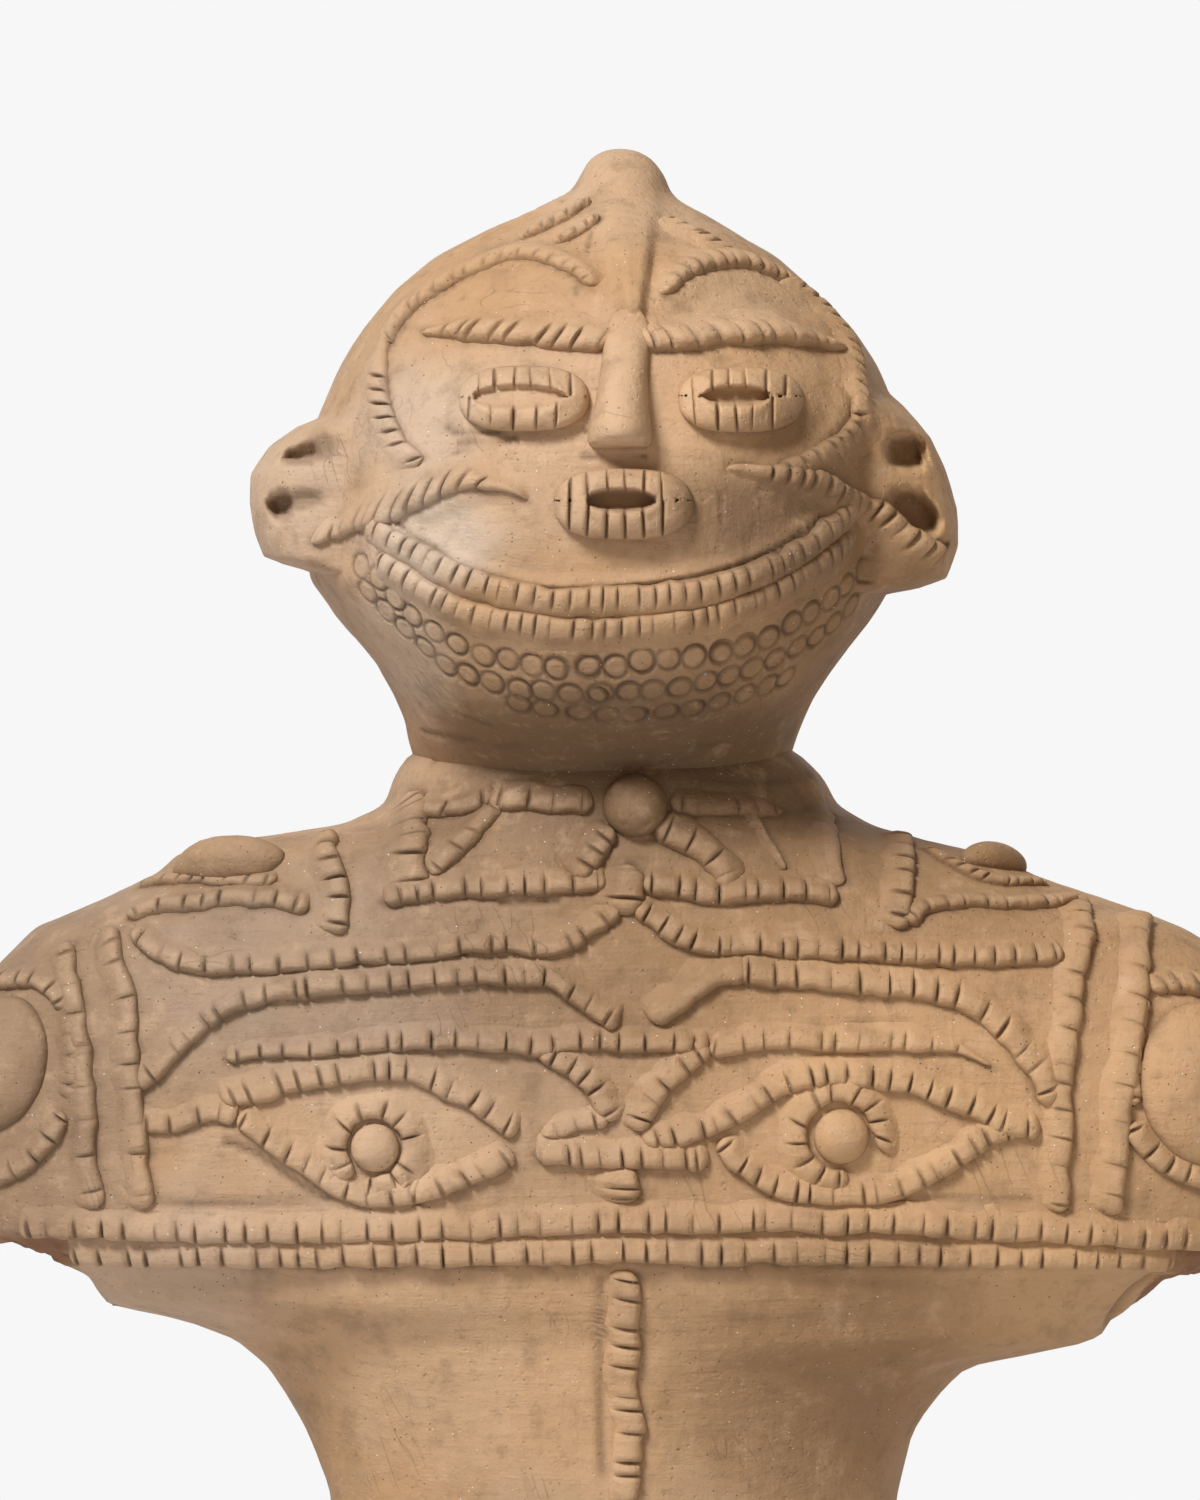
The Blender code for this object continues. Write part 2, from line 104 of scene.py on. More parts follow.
def ease(low: float, high: float, value: np.ndarray) -> np.ndarray:
    """A smooth step from 0 at low to 1 at high."""
    t = np.clip((value - low) / (high - low), 0.0, 1.0)
    return t * t * (3.0 - 2.0 * t)


def blur(values: np.ndarray, reach: int, mirrored: bool) -> np.ndarray:
    """Even out a run of numbers.

    Args:
        values: the numbers, whose first and last belong to closed poles.
        reach: the width of the bell, in samples.
        mirrored: True where the numbers change sign past a pole, as a radius does.

    Returns:
        The evened numbers.
    """
    bell = np.exp(-0.5 * (np.arange(-3 * reach, 3 * reach + 1) / reach) ** 2)
    style = "odd" if mirrored else "even"
    padded = np.pad(values, 3 * reach, mode="reflect", reflect_type=style)
    return np.convolve(padded, bell / bell.sum(), mode="valid")


def soften(rows: np.ndarray, spread: float) -> np.ndarray:
    """Rows of numbers averaged with their neighbours under a bell of a width in rows."""
    place = np.arange(len(rows))
    weight = np.exp(-0.5 * ((place[:, None] - place[None, :]) / spread) ** 2)
    return (weight / weight.sum(axis=1, keepdims=True)) @ rows


def curve_through(points: Path, step: float) -> np.ndarray:
    """Points every step or so along a smooth curve through the given ones."""
    knots = np.array([points[0], *points, points[-1]], float)
    pieces = []
    for a, b, c, d in zip(knots, knots[1:], knots[2:], knots[3:]):
        count = max(1, round(float(np.linalg.norm(c - b)) / step))
        t = (np.arange(count) / count)[:, None]
        pieces.append(0.5 * (2 * b + (c - a) * t + (2 * a - 5 * b + 4 * c - d) * t**2
                             + (3 * b - a - 3 * c + d) * t**3))
    pieces.append(knots[-1:])
    return np.concatenate(pieces)


def arc_points(x: float, z: float, radius: float, start: float, end: float) -> list[tuple[float, float]]:
    """Points along an arc, its angles in degrees from +X towards +Z."""
    count = 2 + round(abs(end - start) / 30.0)
    angles = np.radians(np.linspace(start, end, count))
    return [(x + radius * math.cos(a), z + radius * math.sin(a)) for a in angles]


def add_ball(bm: bmesh.types.BMesh, columns: int, rows: int) -> list[bmesh.types.BMVert]:
    """Roll a grid up into a closed skin.

    Args:
        bm: the mesh that gets it.
        columns: faces around.
        rows: faces from pole to pole.

    Returns:
        Its vertices, whose x and y still run from -1 to 1 over the columns and the rows.
    """
    made = bmesh.ops.create_grid(bm, x_segments=columns, y_segments=rows, size=1.0)["verts"]
    starts, poles, joins = {}, {}, {}
    for vert in made:
        row = round((vert.co.y + 1.0) * 0.5 * rows)
        column = round((vert.co.x + 1.0) * 0.5 * columns)
        if row in (0, rows):
            if poles.setdefault(row, vert) is not vert:
                joins[vert] = poles[row]
        elif column == 0:
            starts[row] = vert
    for vert in made:
        row = round((vert.co.y + 1.0) * 0.5 * rows)
        if round((vert.co.x + 1.0) * 0.5 * columns) == columns and row not in (0, rows):
            joins[vert] = starts[row]
    bmesh.ops.weld_verts(bm, targetmap=joins)
    return [vert for vert in made if vert.is_valid]


class Skin:
    """A closed mesh that starts as a ball of columns and rows."""

    def __init__(self, name: str, columns: int, rows: int) -> None:
        """Make the ball and note each vertex's column and row.

        Args:
            name: the object's name.
            columns: faces around.
            rows: faces from pole to pole.
        """
        bm = bmesh.new()
        add_ball(bm, columns, rows)
        self.mesh = bpy.data.meshes.new(name)
        bm.to_mesh(self.mesh)
        bm.free()
        x, y, _ = self.read("co").T
        self.row = np.rint((y + 1.0) * 0.5 * rows).astype(int)
        self.column = np.rint((x + 1.0) * 0.5 * columns).astype(int) % columns

    @classmethod
    def wrap(cls, mesh: bpy.types.Mesh) -> "Skin":
        """Treat a finished mesh as a skin."""
        skin = cls.__new__(cls)
        skin.mesh = mesh
        return skin

    def read(self, field_name: str) -> np.ndarray:
        """A vertex field, such as co or normal, as rows of three."""
        flat = np.empty(len(self.mesh.vertices) * 3, np.float32)
        self.mesh.vertices.foreach_get(field_name, flat)
        return flat.reshape(-1, 3).astype(float)

    def points(self) -> np.ndarray:
        """The vertices, in drawing units."""
        return self.read("co") / UNIT

    def place(self, points: np.ndarray) -> None:
        """Put the vertices at points in drawing units."""
        self.mesh.vertices.foreach_set("co", (points * UNIT).astype(np.float32).ravel())
        self.mesh.update()

    def push(self, distance: np.ndarray) -> None:
        """Move each vertex out along its normal by a distance in drawing units."""
        self.place(self.points() + self.read("normal") * distance[:, None])

    def note(self, name: str, values: np.ndarray) -> None:
        """Keep a number for each vertex, which the finish reads."""
        layer = self.mesh.attributes.get(name) or self.mesh.attributes.new(name, "FLOAT", "POINT")
        layer.data.foreach_set("value", values.astype(np.float32))

    def darken(self, *layers: np.ndarray) -> None:
        """Raise the noted painted shade and dark marks to the darkest of some layers."""
        kept = np.empty(len(self.mesh.vertices), np.float32)
        self.mesh.attributes["painted_shade_and_dark_marks"].data.foreach_get("value", kept)
        self.note("painted_shade_and_dark_marks", np.maximum.reduce([kept, *layers]))

    def face_out(self) -> None:
        """Turn the faces outwards."""
        bm = bmesh.new()
        bm.from_mesh(self.mesh)
        bmesh.ops.recalc_face_normals(bm, faces=bm.faces)
        bm.to_mesh(self.mesh)
        bm.free()

    def tree(self) -> BVHTree:
        """A search tree of the faces, in drawing units."""
        points = [Vector(p) for p in self.points()]
        return BVHTree.FromPolygons(points, [tuple(p.vertices) for p in self.mesh.polygons])


@dataclass(frozen=True)
class Form:
    """A rounded body given by levels: height, centre x, half width, front, back and squareness."""

    levels: Levels
    soften: float = 1.6
    depth_soften: float = 3.0
    step: float = 0.2

    def profile(self) -> np.ndarray:
        """Evened levels a short step apart, from the top pole to the bottom pole."""
        levels = np.array(self.levels, float)
        run = np.concatenate([[0.0], np.cumsum(np.hypot(np.diff(levels[:, 0]), np.diff(levels[:, 2])))])
        along = np.arange(0.0, run[-1], self.step)
        raw = [np.interp(along, run, column) for column in levels.T]
        near, far = (max(1, round(size / self.step)) for size in (self.soften, self.depth_soften))
        even = [blur(values, near if k < 3 else far, mirrored=k in (2, 3, 4)) for k, values in enumerate(raw)]
        return np.stack(even, axis=1)

    def rows(self, count: int, density: Callable[[np.ndarray], np.ndarray]) -> np.ndarray:
        """Levels for a number of rows, closer together where the density is higher.

        Args:
            count: rows from pole to pole.
            density: wanted rows per unit, from the heights of the levels.

        Returns:
            One level a row, whose first and last have no size.
        """
        levels = self.profile()
        length = np.hypot(np.diff(levels[:, 0]), np.diff(levels[:, 2]))
        weight = length * density(0.5 * (levels[1:, 0] + levels[:-1, 0]))
        run = np.concatenate([[0.0], np.cumsum(weight)])
        picks = np.linspace(0.0, run[-1], count + 1)
        out = np.stack([np.interp(picks, run, column) for column in levels.T], axis=1)
        out[[0, -1], 2:5] = 0.0
        return out

    def angles(self, count: int, height: float, density: Callable[[np.ndarray], np.ndarray]) -> np.ndarray:
        """Angles for a number of columns, evenly spaced along the outline at a height.

        Args:
            count: columns around.
            height: the level at which they are even.
            density: wanted columns per unit, from the points' y.

        Returns:
            The angles, from +X towards +Y.
        """
        levels = self.profile()
        level = levels[np.argmin(np.abs(levels[:, 0] - height))]
        fine = np.linspace(0.0, 2.0 * math.pi, 4001)
        spots = self.lay(np.repeat(level[None, :], len(fine), axis=0), fine)
        middle = 0.5 * (spots[1:] + spots[:-1])
        weight = np.linalg.norm(np.diff(spots, axis=0), axis=1) * density(middle[:, 1])
        run = np.concatenate([[0.0], np.cumsum(weight)])
        return np.interp(np.arange(count) / count * run[-1], run, fine)

    @staticmethod
    def lay(levels: np.ndarray, angles: np.ndarray) -> np.ndarray:
        """Points at the given levels and angles, one for each pair."""
        z, centre, half, front, back, squareness = levels.T
        power = 2.0 / np.maximum(squareness, 1.0)
        c, s = np.cos(angles), np.sin(angles)
        depth = np.where(s < 0.0, front, back)
        x = centre + half * np.sign(c) * np.abs(c) ** power
        y = AXIS_Y + depth * np.sign(s) * np.abs(s) ** power
        return np.stack([x, y, z], axis=1)

    def cover(self, skin: Skin, rows: np.ndarray, angles: np.ndarray) -> None:
        """Lay a skin on the form."""
        skin.place(self.lay(rows[skin.row], angles[skin.column]))
        skin.face_out()


# The clay's finish


class Wire:
    """A shader socket, or what stands for one, with arithmetic."""

    def __init__(self, tree: bpy.types.NodeTree, socket: bpy.types.NodeSocket) -> None:
        """Wrap an output socket of a tree."""
        self.tree = tree
        self.socket = socket

    def _math(self, operation: str, *values: "Wire | float", clamp: bool = False) -> "Wire":
        """Add one Math node on this tree."""
        settings = {"operation": operation, "use_clamp": clamp}
        return add_node(self.tree, "ShaderNodeMath", settings, dict(enumerate(values)))

    def __add__(self, other: "Wire | float") -> "Wire":
        """The sum."""
        return self._math("ADD", self, other)

    __radd__ = __add__

    def __mul__(self, other: "Wire | float") -> "Wire":
        """The product."""
        return self._math("MULTIPLY", self, other)

    __rmul__ = __mul__

    def __sub__(self, other: "Wire | float") -> "Wire":
        """The difference."""
        return self._math("SUBTRACT", self, other)

    def __rsub__(self, other: float) -> "Wire":
        """The difference, from a number."""
        return self._math("SUBTRACT", other, self)

    def clamp(self) -> "Wire":
        """The value kept between 0 and 1."""
        return self._math("ADD", self, 0.0, clamp=True)

    def span(self, low: float, high: float) -> "Wire":
        """0 at low, 1 at high, smooth between and flat beyond."""
        settings = {"interpolation_type": "SMOOTHSTEP"}
        return add_node(self.tree, "ShaderNodeMapRange", settings,
                        {"Value": self, "From Min": low, "From Max": high})


def add_node(tree: bpy.types.NodeTree, kind: str, settings: dict, sockets: dict, output: int | str = 0) -> Wire:
    """Add a node.

    Args:
        tree: the material's tree.
        kind: the node's type.
        settings: its properties, set first.
        sockets: values or wires by input name or number.
        output: the output that is wrapped.

    Returns:
        The wrapped output.
    """
    node = tree.nodes.new(kind)
    for name, value in settings.items():
        setattr(node, name, value)
    for key, value in sockets.items():
        if isinstance(value, Wire):
            tree.links.new(value.socket, node.inputs[key])
        else:
            node.inputs[key].default_value = value
    return Wire(tree, node.outputs[output])


Colour = tuple[float, float, float, float]


@dataclass(frozen=True)
class FiredClay:
    """Low-fired clay, rubbed smooth, with smoky clouds, dark tool lines and fine grit, with painted shade under the
    chin and on the shaded right, painted light on the lit left and on the tops, and painted shade in the creases,
    notches and hollows.
    """

    name: str = "fired_clay"
    tan: Colour = (0.44, 0.295, 0.190, 1.0)
    # Reddish tone of the clay, also used for the painted bounce light over the shaded right side.
    warm_and_painted_bounce: Colour = (0.43, 0.250, 0.120, 1.0)
    grey: Colour = (0.285, 0.205, 0.140, 1.0)
    # Fire-cloud darkening, also used for painted shade under the chin and on the shaded right of the face.
    smoke_and_painted_shade: Colour = (0.150, 0.085, 0.041, 1.0)
    # Dark brown for painted shade in creases, notches and hollows, and for drawn lines, scratches and specks.
    painted_shade_and_dark_marks: Colour = (0.085, 0.048, 0.026, 1.0)
    # Rubbed lighter tone of the clay, also used for painted light on the crest and the brows.
    wear_and_painted_light: Colour = (0.57, 0.375, 0.225, 1.0)
    # Painted light: a paler tone for the lit left side of the face.
    pale: Colour = (0.54, 0.43, 0.33, 1.0)
    # Yellow-brown tone, also used for painted fill light on the shaded right side.
    ochre_and_painted_fill_light: Colour = (0.56, 0.335, 0.165, 1.0)
    # Dark brown tone, also used for painted shade on the shaded right side.
    umber_and_painted_shade: Colour = (0.235, 0.130, 0.058, 1.0)
    broken: Colour = (0.205, 0.088, 0.040, 1.0)
    mica: Colour = (0.86, 0.82, 0.74, 1.0)
    roughness: float = 0.60

    def build(self) -> bpy.types.Material:
        """The material, which reads Object coordinates and the skins' own numbers."""
        material = bpy.data.materials.new(self.name)
        material.use_nodes = True
        tree = material.node_tree
        tree.nodes.clear()
        spot = add_node(tree, "ShaderNodeTexCoord", {}, {}, "Object")
        colour, cover = self._colour(tree, spot)
        shader = add_node(tree, "ShaderNodeBsdfPrincipled", {}, {
            "Base Color": colour,
            "Roughness": self._roughness(tree, spot, cover),
            "Normal": self._relief(tree, spot),
            "Specular IOR Level": 0.32,
        })
        output = tree.nodes.new("ShaderNodeOutputMaterial")
        tree.links.new(shader.socket, output.inputs["Surface"])
        return material

    def _noise(self, tree: bpy.types.NodeTree, spot: Wire, scale: float, detail: float,
               rough: float = 0.5, stretch: tuple[float, float, float] = (1.0, 1.0, 1.0)) -> Wire:
        """Noise on Object coordinates, its scale in waves a metre."""
        turned = add_node(tree, "ShaderNodeMapping", {}, {"Vector": spot, "Scale": stretch})
        return add_node(tree, "ShaderNodeTexNoise", {}, {
            "Vector": turned, "Scale": scale, "Detail": detail, "Roughness": rough})

    def _blend(self, tree: bpy.types.NodeTree, share: Wire | float, low: Wire | Colour, high: Wire | Colour) -> Wire:
        """A colour between two others."""
        return add_node(tree, "ShaderNodeMix", {"data_type": "RGBA"}, {0: share, 6: low, 7: high}, 2)

    def _cloud(self, tree: bpy.types.NodeTree, spot: Wire, place: tuple[float, float, float],
               reach: tuple[float, float, float], ragged: Wire) -> Wire:
        """A soft patch, 1 at its middle, with an uneven edge."""
        centre = tuple(-c / r for c, r in zip(place, reach))
        scale = tuple(1.0 / (r * UNIT) for r in reach)
        moved = add_node(tree, "ShaderNodeMapping", {}, {"Vector": spot, "Scale": scale, "Location": centre})
        size = add_node(tree, "ShaderNodeVectorMath", {"operation": "LENGTH"}, {0: moved}, "Value")
        return (1.0 - (size + (ragged - 0.5) * 0.9).span(0.35, 1.15)).clamp()

    def _colour(self, tree: bpy.types.NodeTree, spot: Wire) -> tuple[Wire, Wire]:
        """The surface colour with its painted shade and painted light, and the noted painted shade and dark marks at
        each point.
        """
        broad = self._noise(tree, spot, 14.0, 4.0, 0.55)
        middle = self._noise(tree, spot, 55.0, 5.0, 0.6)
        fine = self._noise(tree, spot, 420.0, 4.0, 0.65)
        # Noted painted shade in creases, notches and hollows, with the dark of drawn lines and punched rings.
        painted_shade_and_dark_marks = add_node(tree, "ShaderNodeAttribute", {"attribute_name": "painted_shade_and_dark_marks"}, {}, "Fac")
        proud = add_node(tree, "ShaderNodeAttribute", {"attribute_name": "proud"}, {}, "Fac")
        break_mask = add_node(tree, "ShaderNodeAttribute", {"attribute_name": "broken"}, {}, "Fac")
        colour = self._blend(tree, broad.span(0.38, 0.62), self.tan, self.warm_and_painted_bounce)
        colour = self._blend(tree, middle.span(0.48, 0.78) * 0.55, colour, self.grey)
        ragged = self._noise(tree, spot, 30.0, 5.0, 0.6)
        # Clouds of colour: some are the clay's own fire clouds and tone, the others, marked below, are painted shade
        # and painted light.
        for place, reach, strength, tint in (
            # Painted bounce light: the whole right side, where the shade falls, is redder.
            ((84.0, -30.0, 240.0), (132.0, 140.0, 200.0), 1.00, self.warm_and_painted_bounce),
            # Painted light on the lit left cheek.
            ((-34.0, -45.0, 290.0), (16.0, 30.0, 11.0), 0.75, self.pale),
            # Painted light on the lit left ear.
            ((-60.0, -14.0, 298.0), (16.0, 30.0, 18.0), 0.30, self.pale),
            # Painted fill light, reddish, on the shaded right ear.
            ((57.0, -14.0, 298.0), (14.0, 30.0, 20.0), 0.50, self.ochre_and_painted_fill_light),
            # Painted light on the top of the crest, which faces the light.
            ((0.0, -10.0, 353.0), (28.0, 40.0, 18.0), 0.45, self.wear_and_painted_light),
            # Painted light on the lit left jaw.
            ((-40.0, -28.0, 268.0), (14.0, 30.0, 18.0), 0.45, self.pale),
            ((-62.0, -30.0, 212.0), (62.0, 60.0, 34.0), 0.70, self.grey),
            ((-112.0, -20.0, 200.0), (30.0, 50.0, 38.0), 0.80, self.grey),
            ((-112.0, -20.0, 200.0), (34.0, 50.0, 42.0), 0.58, self.umber_and_painted_shade),
            ((-46.0, -30.0, 184.0), (32.0, 40.0, 18.0), 0.50, self.wear_and_painted_light),
            ((-36.0, -30.0, 142.0), (32.0, 40.0, 24.0), 0.45, self.wear_and_painted_light),
            ((-80.0, -25.0, 231.0), (36.0, 40.0, 13.0), 0.36, self.smoke_and_painted_shade),
            ((-4.0, -30.0, 214.0), (46.0, 40.0, 28.0), 0.60, self.umber_and_painted_shade),
            ((52.0, -20.0, 229.0), (38.0, 40.0, 17.0), 0.52, self.umber_and_painted_shade),
            # Painted shade below the chin and over the collar, over some fire-cloud darkening.
            ((-4.0, -36.0, 248.0), (70.0, 50.0, 27.0), 0.80, self.smoke_and_painted_shade),
            # Painted shade under the jaw's overhang.
            ((4.0, -40.0, 253.0), (50.0, 40.0, 11.0), 0.90, self.smoke_and_painted_shade),
            # The next two clouds are painted shade on the right jaw, on the side away from the light.
            ((42.0, -30.0, 272.0), (26.0, 40.0, 26.0), 0.30, self.smoke_and_painted_shade),
            ((44.0, -30.0, 275.0), (22.0, 40.0, 20.0), 0.45, self.umber_and_painted_shade),
            # Painted shade on the right cheek.
            ((27.0, -50.0, 294.0), (22.0, 30.0, 17.0), 0.75, self.smoke_and_painted_shade),
            # Painted light between the brows, against their shade.
            ((-4.0, -50.0, 317.0), (44.0, 40.0, 17.0), 0.60, self.wear_and_painted_light),
            # Painted fill light, reddish, around the shaded right eye.
            ((24.0, -50.0, 315.0), (24.0, 40.0, 17.0), 0.60, self.ochre_and_painted_fill_light),
            # Painted shade on the right cheek below the eye.
            ((34.0, -40.0, 305.0), (17.0, 30.0, 15.0), 0.60, self.umber_and_painted_shade),
            # Painted light on the forehead right of the crest, against its shade.
            ((20.0, -40.0, 334.0), (20.0, 30.0, 9.0), 0.60, self.wear_and_painted_light),
            # Painted light on the left eye, against the brow's shade.
            ((-37.0, -40.0, 312.0), (18.0, 30.0, 14.0), 0.40, self.pale),
            ((-16.0, -50.0, 298.0), (18.0, 30.0, 12.0), 0.35, self.wear_and_painted_light),
            # The next three clouds are painted fill light on the shaded right chest, the arm and under the arm.
            ((52.0, -30.0, 190.0), (44.0, 40.0, 26.0), 0.60, self.ochre_and_painted_fill_light),
            ((104.0, -20.0, 193.0), (24.0, 40.0, 26.0), 0.60, self.ochre_and_painted_fill_light),
            ((78.0, -20.0, 155.0), (28.0, 40.0, 15.0), 0.65, self.ochre_and_painted_fill_light),
            ((-4.0, -30.0, 132.0), (22.0, 40.0, 30.0), 0.45, self.ochre_and_painted_fill_light),
            # Painted shade on the right of the belly.
            ((36.0, -30.0, 140.0), (36.0, 40.0, 30.0), 0.65, self.umber_and_painted_shade),
            ((30.0, 40.0, 190.0), (60.0, 30.0, 60.0), 0.55, self.grey),
            ((-20.0, 30.0, 70.0), (60.0, 60.0, 40.0), 0.50, self.grey),
        ):
            colour = self._blend(tree, self._cloud(tree, spot, place, reach, ragged) * strength, colour, tint)
        dapple = self._noise(tree, spot, 150.0, 5.0, 0.62)
        colour = self._blend(tree, dapple.span(0.50, 0.72) * 0.34, colour, self.smoke_and_painted_shade)
        colour = self._blend(tree, (1.0 - dapple.span(0.28, 0.46)) * 0.34, colour, self.wear_and_painted_light)
        colour = self._blend(tree, proud * (fine.span(0.35, 0.7) * 0.25 + 0.08), colour, self.wear_and_painted_light)
        colour = self._blend(tree, fine.span(0.54, 0.80) * 0.38, colour, self.smoke_and_painted_shade)
        colour = self._blend(tree, (1.0 - fine.span(0.22, 0.44)) * 0.30, colour, self.wear_and_painted_light)
        colour = self._blend(tree, break_mask * 0.85, colour, self.broken)
        # Painted shade and dark marks from the noted numbers.
        colour = self._blend(tree, painted_shade_and_dark_marks * 0.86, colour, self.painted_shade_and_dark_marks)
        colour = self._blend(tree, self._scratches(tree, spot) * 0.16, colour, self.painted_shade_and_dark_marks)
        return self._specks(tree, spot, colour), painted_shade_and_dark_marks

    def _scratches(self, tree: bpy.types.NodeTree, spot: Wire) -> Wire:
        """Sparse fine strokes left by a stick or a pebble, mostly upright or level."""
        marks = []
        for turn, scale in ((0.35, 300.0), (1.35, 260.0)):
            turned = add_node(tree, "ShaderNodeMapping", {}, {"Vector": spot, "Rotation": (0.0, turn, 0.0)})
            wave = self._noise(tree, turned, scale, 1.0, 0.4, (1.0, 1.0, 0.05))
            marks.append(1.0 - ((wave - 0.5) * (wave - 0.5)).span(0.00002, 0.00025))
        patch = self._noise(tree, spot, 44.0, 3.0, 0.5)
        return marks[0] * patch.span(0.58, 0.68) + marks[1] * (1.0 - patch).span(0.60, 0.70)

    def _specks(self, tree: bpy.types.NodeTree, spot: Wire, colour: Wire) -> Wire:
        """Add dark pits and a few bright flakes."""
        for scale, size, share, tint in ((950.0, 0.12, 0.88, self.painted_shade_and_dark_marks), (1400.0, 0.12, 0.965, self.mica)):
            cells = {"Vector": spot, "Scale": scale}
            near = add_node(tree, "ShaderNodeTexVoronoi", {}, cells, "Distance")
            picked = add_node(tree, "ShaderNodeTexVoronoi", {}, cells, "Color")
            draw = add_node(tree, "ShaderNodeSeparateColor", {}, {"Color": picked}, "Red")
            colour = self._blend(tree, (1.0 - near.span(size, size * 1.6)) * draw.span(share, share + 0.02) * 0.85,
                                 colour, tint)
        return colour

    def _roughness(self, tree: bpy.types.NodeTree, spot: Wire, painted_shade_and_dark_marks: Wire) -> Wire:
        """Duller in the creases and where the rubbing missed."""
        patch = self._noise(tree, spot, 70.0, 4.0)
        return (patch.span(0.3, 0.7) * 0.16 + painted_shade_and_dark_marks * 0.2 + self.roughness).clamp()

    def _relief(self, tree: bpy.types.NodeTree, spot: Wire) -> Wire:
        """Grain, rubbing strokes and pits, too fine for the mesh."""
        grain = self._noise(tree, spot, 2100.0, 3.0, 0.7)
        lumps = self._noise(tree, spot, 300.0, 5.0, 0.6)
        across = self._noise(tree, spot, 420.0, 3.0, 0.6, (0.10, 1.0, 1.0))
        down = self._noise(tree, spot, 520.0, 2.0, 0.6, (1.0, 1.0, 0.12))
        pits = add_node(tree, "ShaderNodeTexVoronoi", {}, {"Vector": spot, "Scale": 480.0}, "Distance")
        height = (grain * 0.36 + lumps * 0.95 + across.span(0.35, 0.75) * 0.34 + down.span(0.4, 0.8) * 0.20
                  + pits.span(0.04, 0.20) * 0.34 - self._scratches(tree, spot) * 0.30)
        return add_node(tree, "ShaderNodeBump", {}, {"Height": height, "Strength": 0.75, "Distance": 0.00045})


# The clay bodies


BODY_LEVELS: Levels = (
    (254.5, -4.0, 0.0, 0.0, 0.0, 2.0),
    (254.0, -4.0, 30.0, 22.0, 21.0, 2.0),
    (252.0, -4.0, 34.8, 27.0, 26.0, 2.0),
    (247.5, -3.0, 38.6, 29.0, 28.0, 2.0),
    (242.5, -2.5, 40.5, 30.0, 29.5, 2.0),
    (238.8, -3.0, 48.0, 31.0, 30.5, 2.1),
    (236.2, -7.0, 61.5, 31.5, 31.0, 2.1),
    (233.8, -8.0, 72.0, 32.5, 32.0, 2.1),
    (230.3, -5.5, 78.0, 33.5, 33.0, 2.15),
    (225.8, -4.0, 89.0, 34.5, 34.0, 2.25),
    (220.5, -2.5, 103.0, 35.5, 34.5, 2.35),
    (214.5, -1.0, 110.8, 36.0, 35.0, 2.5),
    (206.0, -0.5, 118.0, 36.5, 35.0, 2.7),
    (196.0, 0.0, 121.5, 37.0, 35.0, 2.9),
    (184.0, 0.0, 123.5, 37.0, 35.0, 3.0),
    (172.0, 0.0, 124.0, 36.5, 35.0, 3.0),
    (167.0, 0.5, 122.5, 36.0, 34.5, 3.0),
    (163.2, 2.0, 118.5, 35.5, 34.5, 2.85),
    (161.0, 2.6, 115.2, 35.0, 34.0, 2.8),
    (159.6, 1.2, 108.0, 34.8, 34.0, 2.8),
    (158.0, -2.0, 99.4, 34.5, 34.0, 2.75),
    (156.0, -2.2, 96.8, 34.3, 34.0, 2.7),
    (153.6, -1.8, 94.0, 34.0, 34.0, 2.6),
    (151.5, 1.0, 88.0, 33.4, 33.3, 2.5),
    (150.0, 3.4, 83.4, 33.0, 33.0, 2.45),
    (146.6, 7.3, 77.2, 32.3, 32.0, 2.3),
    (141.6, -1.2, 62.4, 31.7, 31.0, 2.2),
    (136.0, -2.0, 57.8, 31.0, 30.5, 2.1),
    (130.0, -2.5, 54.2, 30.5, 30.0, 2.1),
    (120.0, -2.0, 51.2, 30.0, 29.5, 2.1),
    (113.0, -2.0, 50.3, 30.2, 29.8, 2.1),
    (109.0, -2.0, 47.0, 27.0, 26.5, 2.1),
    (108.0, -2.0, 0.0, 0.0, 0.0, 2.1),
)
HIP_LEVELS: Levels = (
    (118.0, -2.0, 0.0, 0.0, 0.0, 2.1),
    (117.5, -2.0, 46.0, 26.0, 25.5, 2.1),
    (115.0, -2.0, 49.2, 29.4, 29.0, 2.1),
    (111.0, -2.0, 50.0, 30.3, 29.9, 2.1),
    (102.0, -1.5, 52.5, 32.0, 32.5, 2.1),
    (90.0, -0.5, 59.0, 35.5, 37.0, 2.3),
    (78.0, 0.0, 63.5, 37.5, 39.5, 2.4),
    (66.0, 0.0, 63.5, 37.0, 39.0, 2.4),
    (57.0, 0.0, 60.0, 34.5, 36.0, 2.4),
    (50.0, 0.0, 53.0, 30.0, 31.0, 2.3),
    (49.0, 0.0, 0.0, 0.0, 0.0, 2.3),
)
LEG_LEVELS: Levels = (
    (67.0, 30.0, 0.0, 0.0, 0.0, 2.2),
    (66.0, 30.0, 25.0, 30.0, 32.0, 2.2),
    (50.0, 32.5, 26.0, 31.0, 32.5, 2.2),
    (37.0, 33.5, 25.5, 29.5, 30.5, 2.2),
    (24.0, 34.0, 24.0, 28.5, 28.5, 2.2),
    (12.0, 34.5, 25.0, 30.5, 29.0, 2.3),
    (4.0, 35.0, 26.5, 33.0, 30.0, 2.4),
    (0.6, 35.0, 26.0, 32.5, 29.5, 2.4),
    (0.0, 35.0, 24.5, 31.0, 28.0, 2.4),
    (0.0, 35.0, 0.0, 0.0, 0.0, 2.4),
)
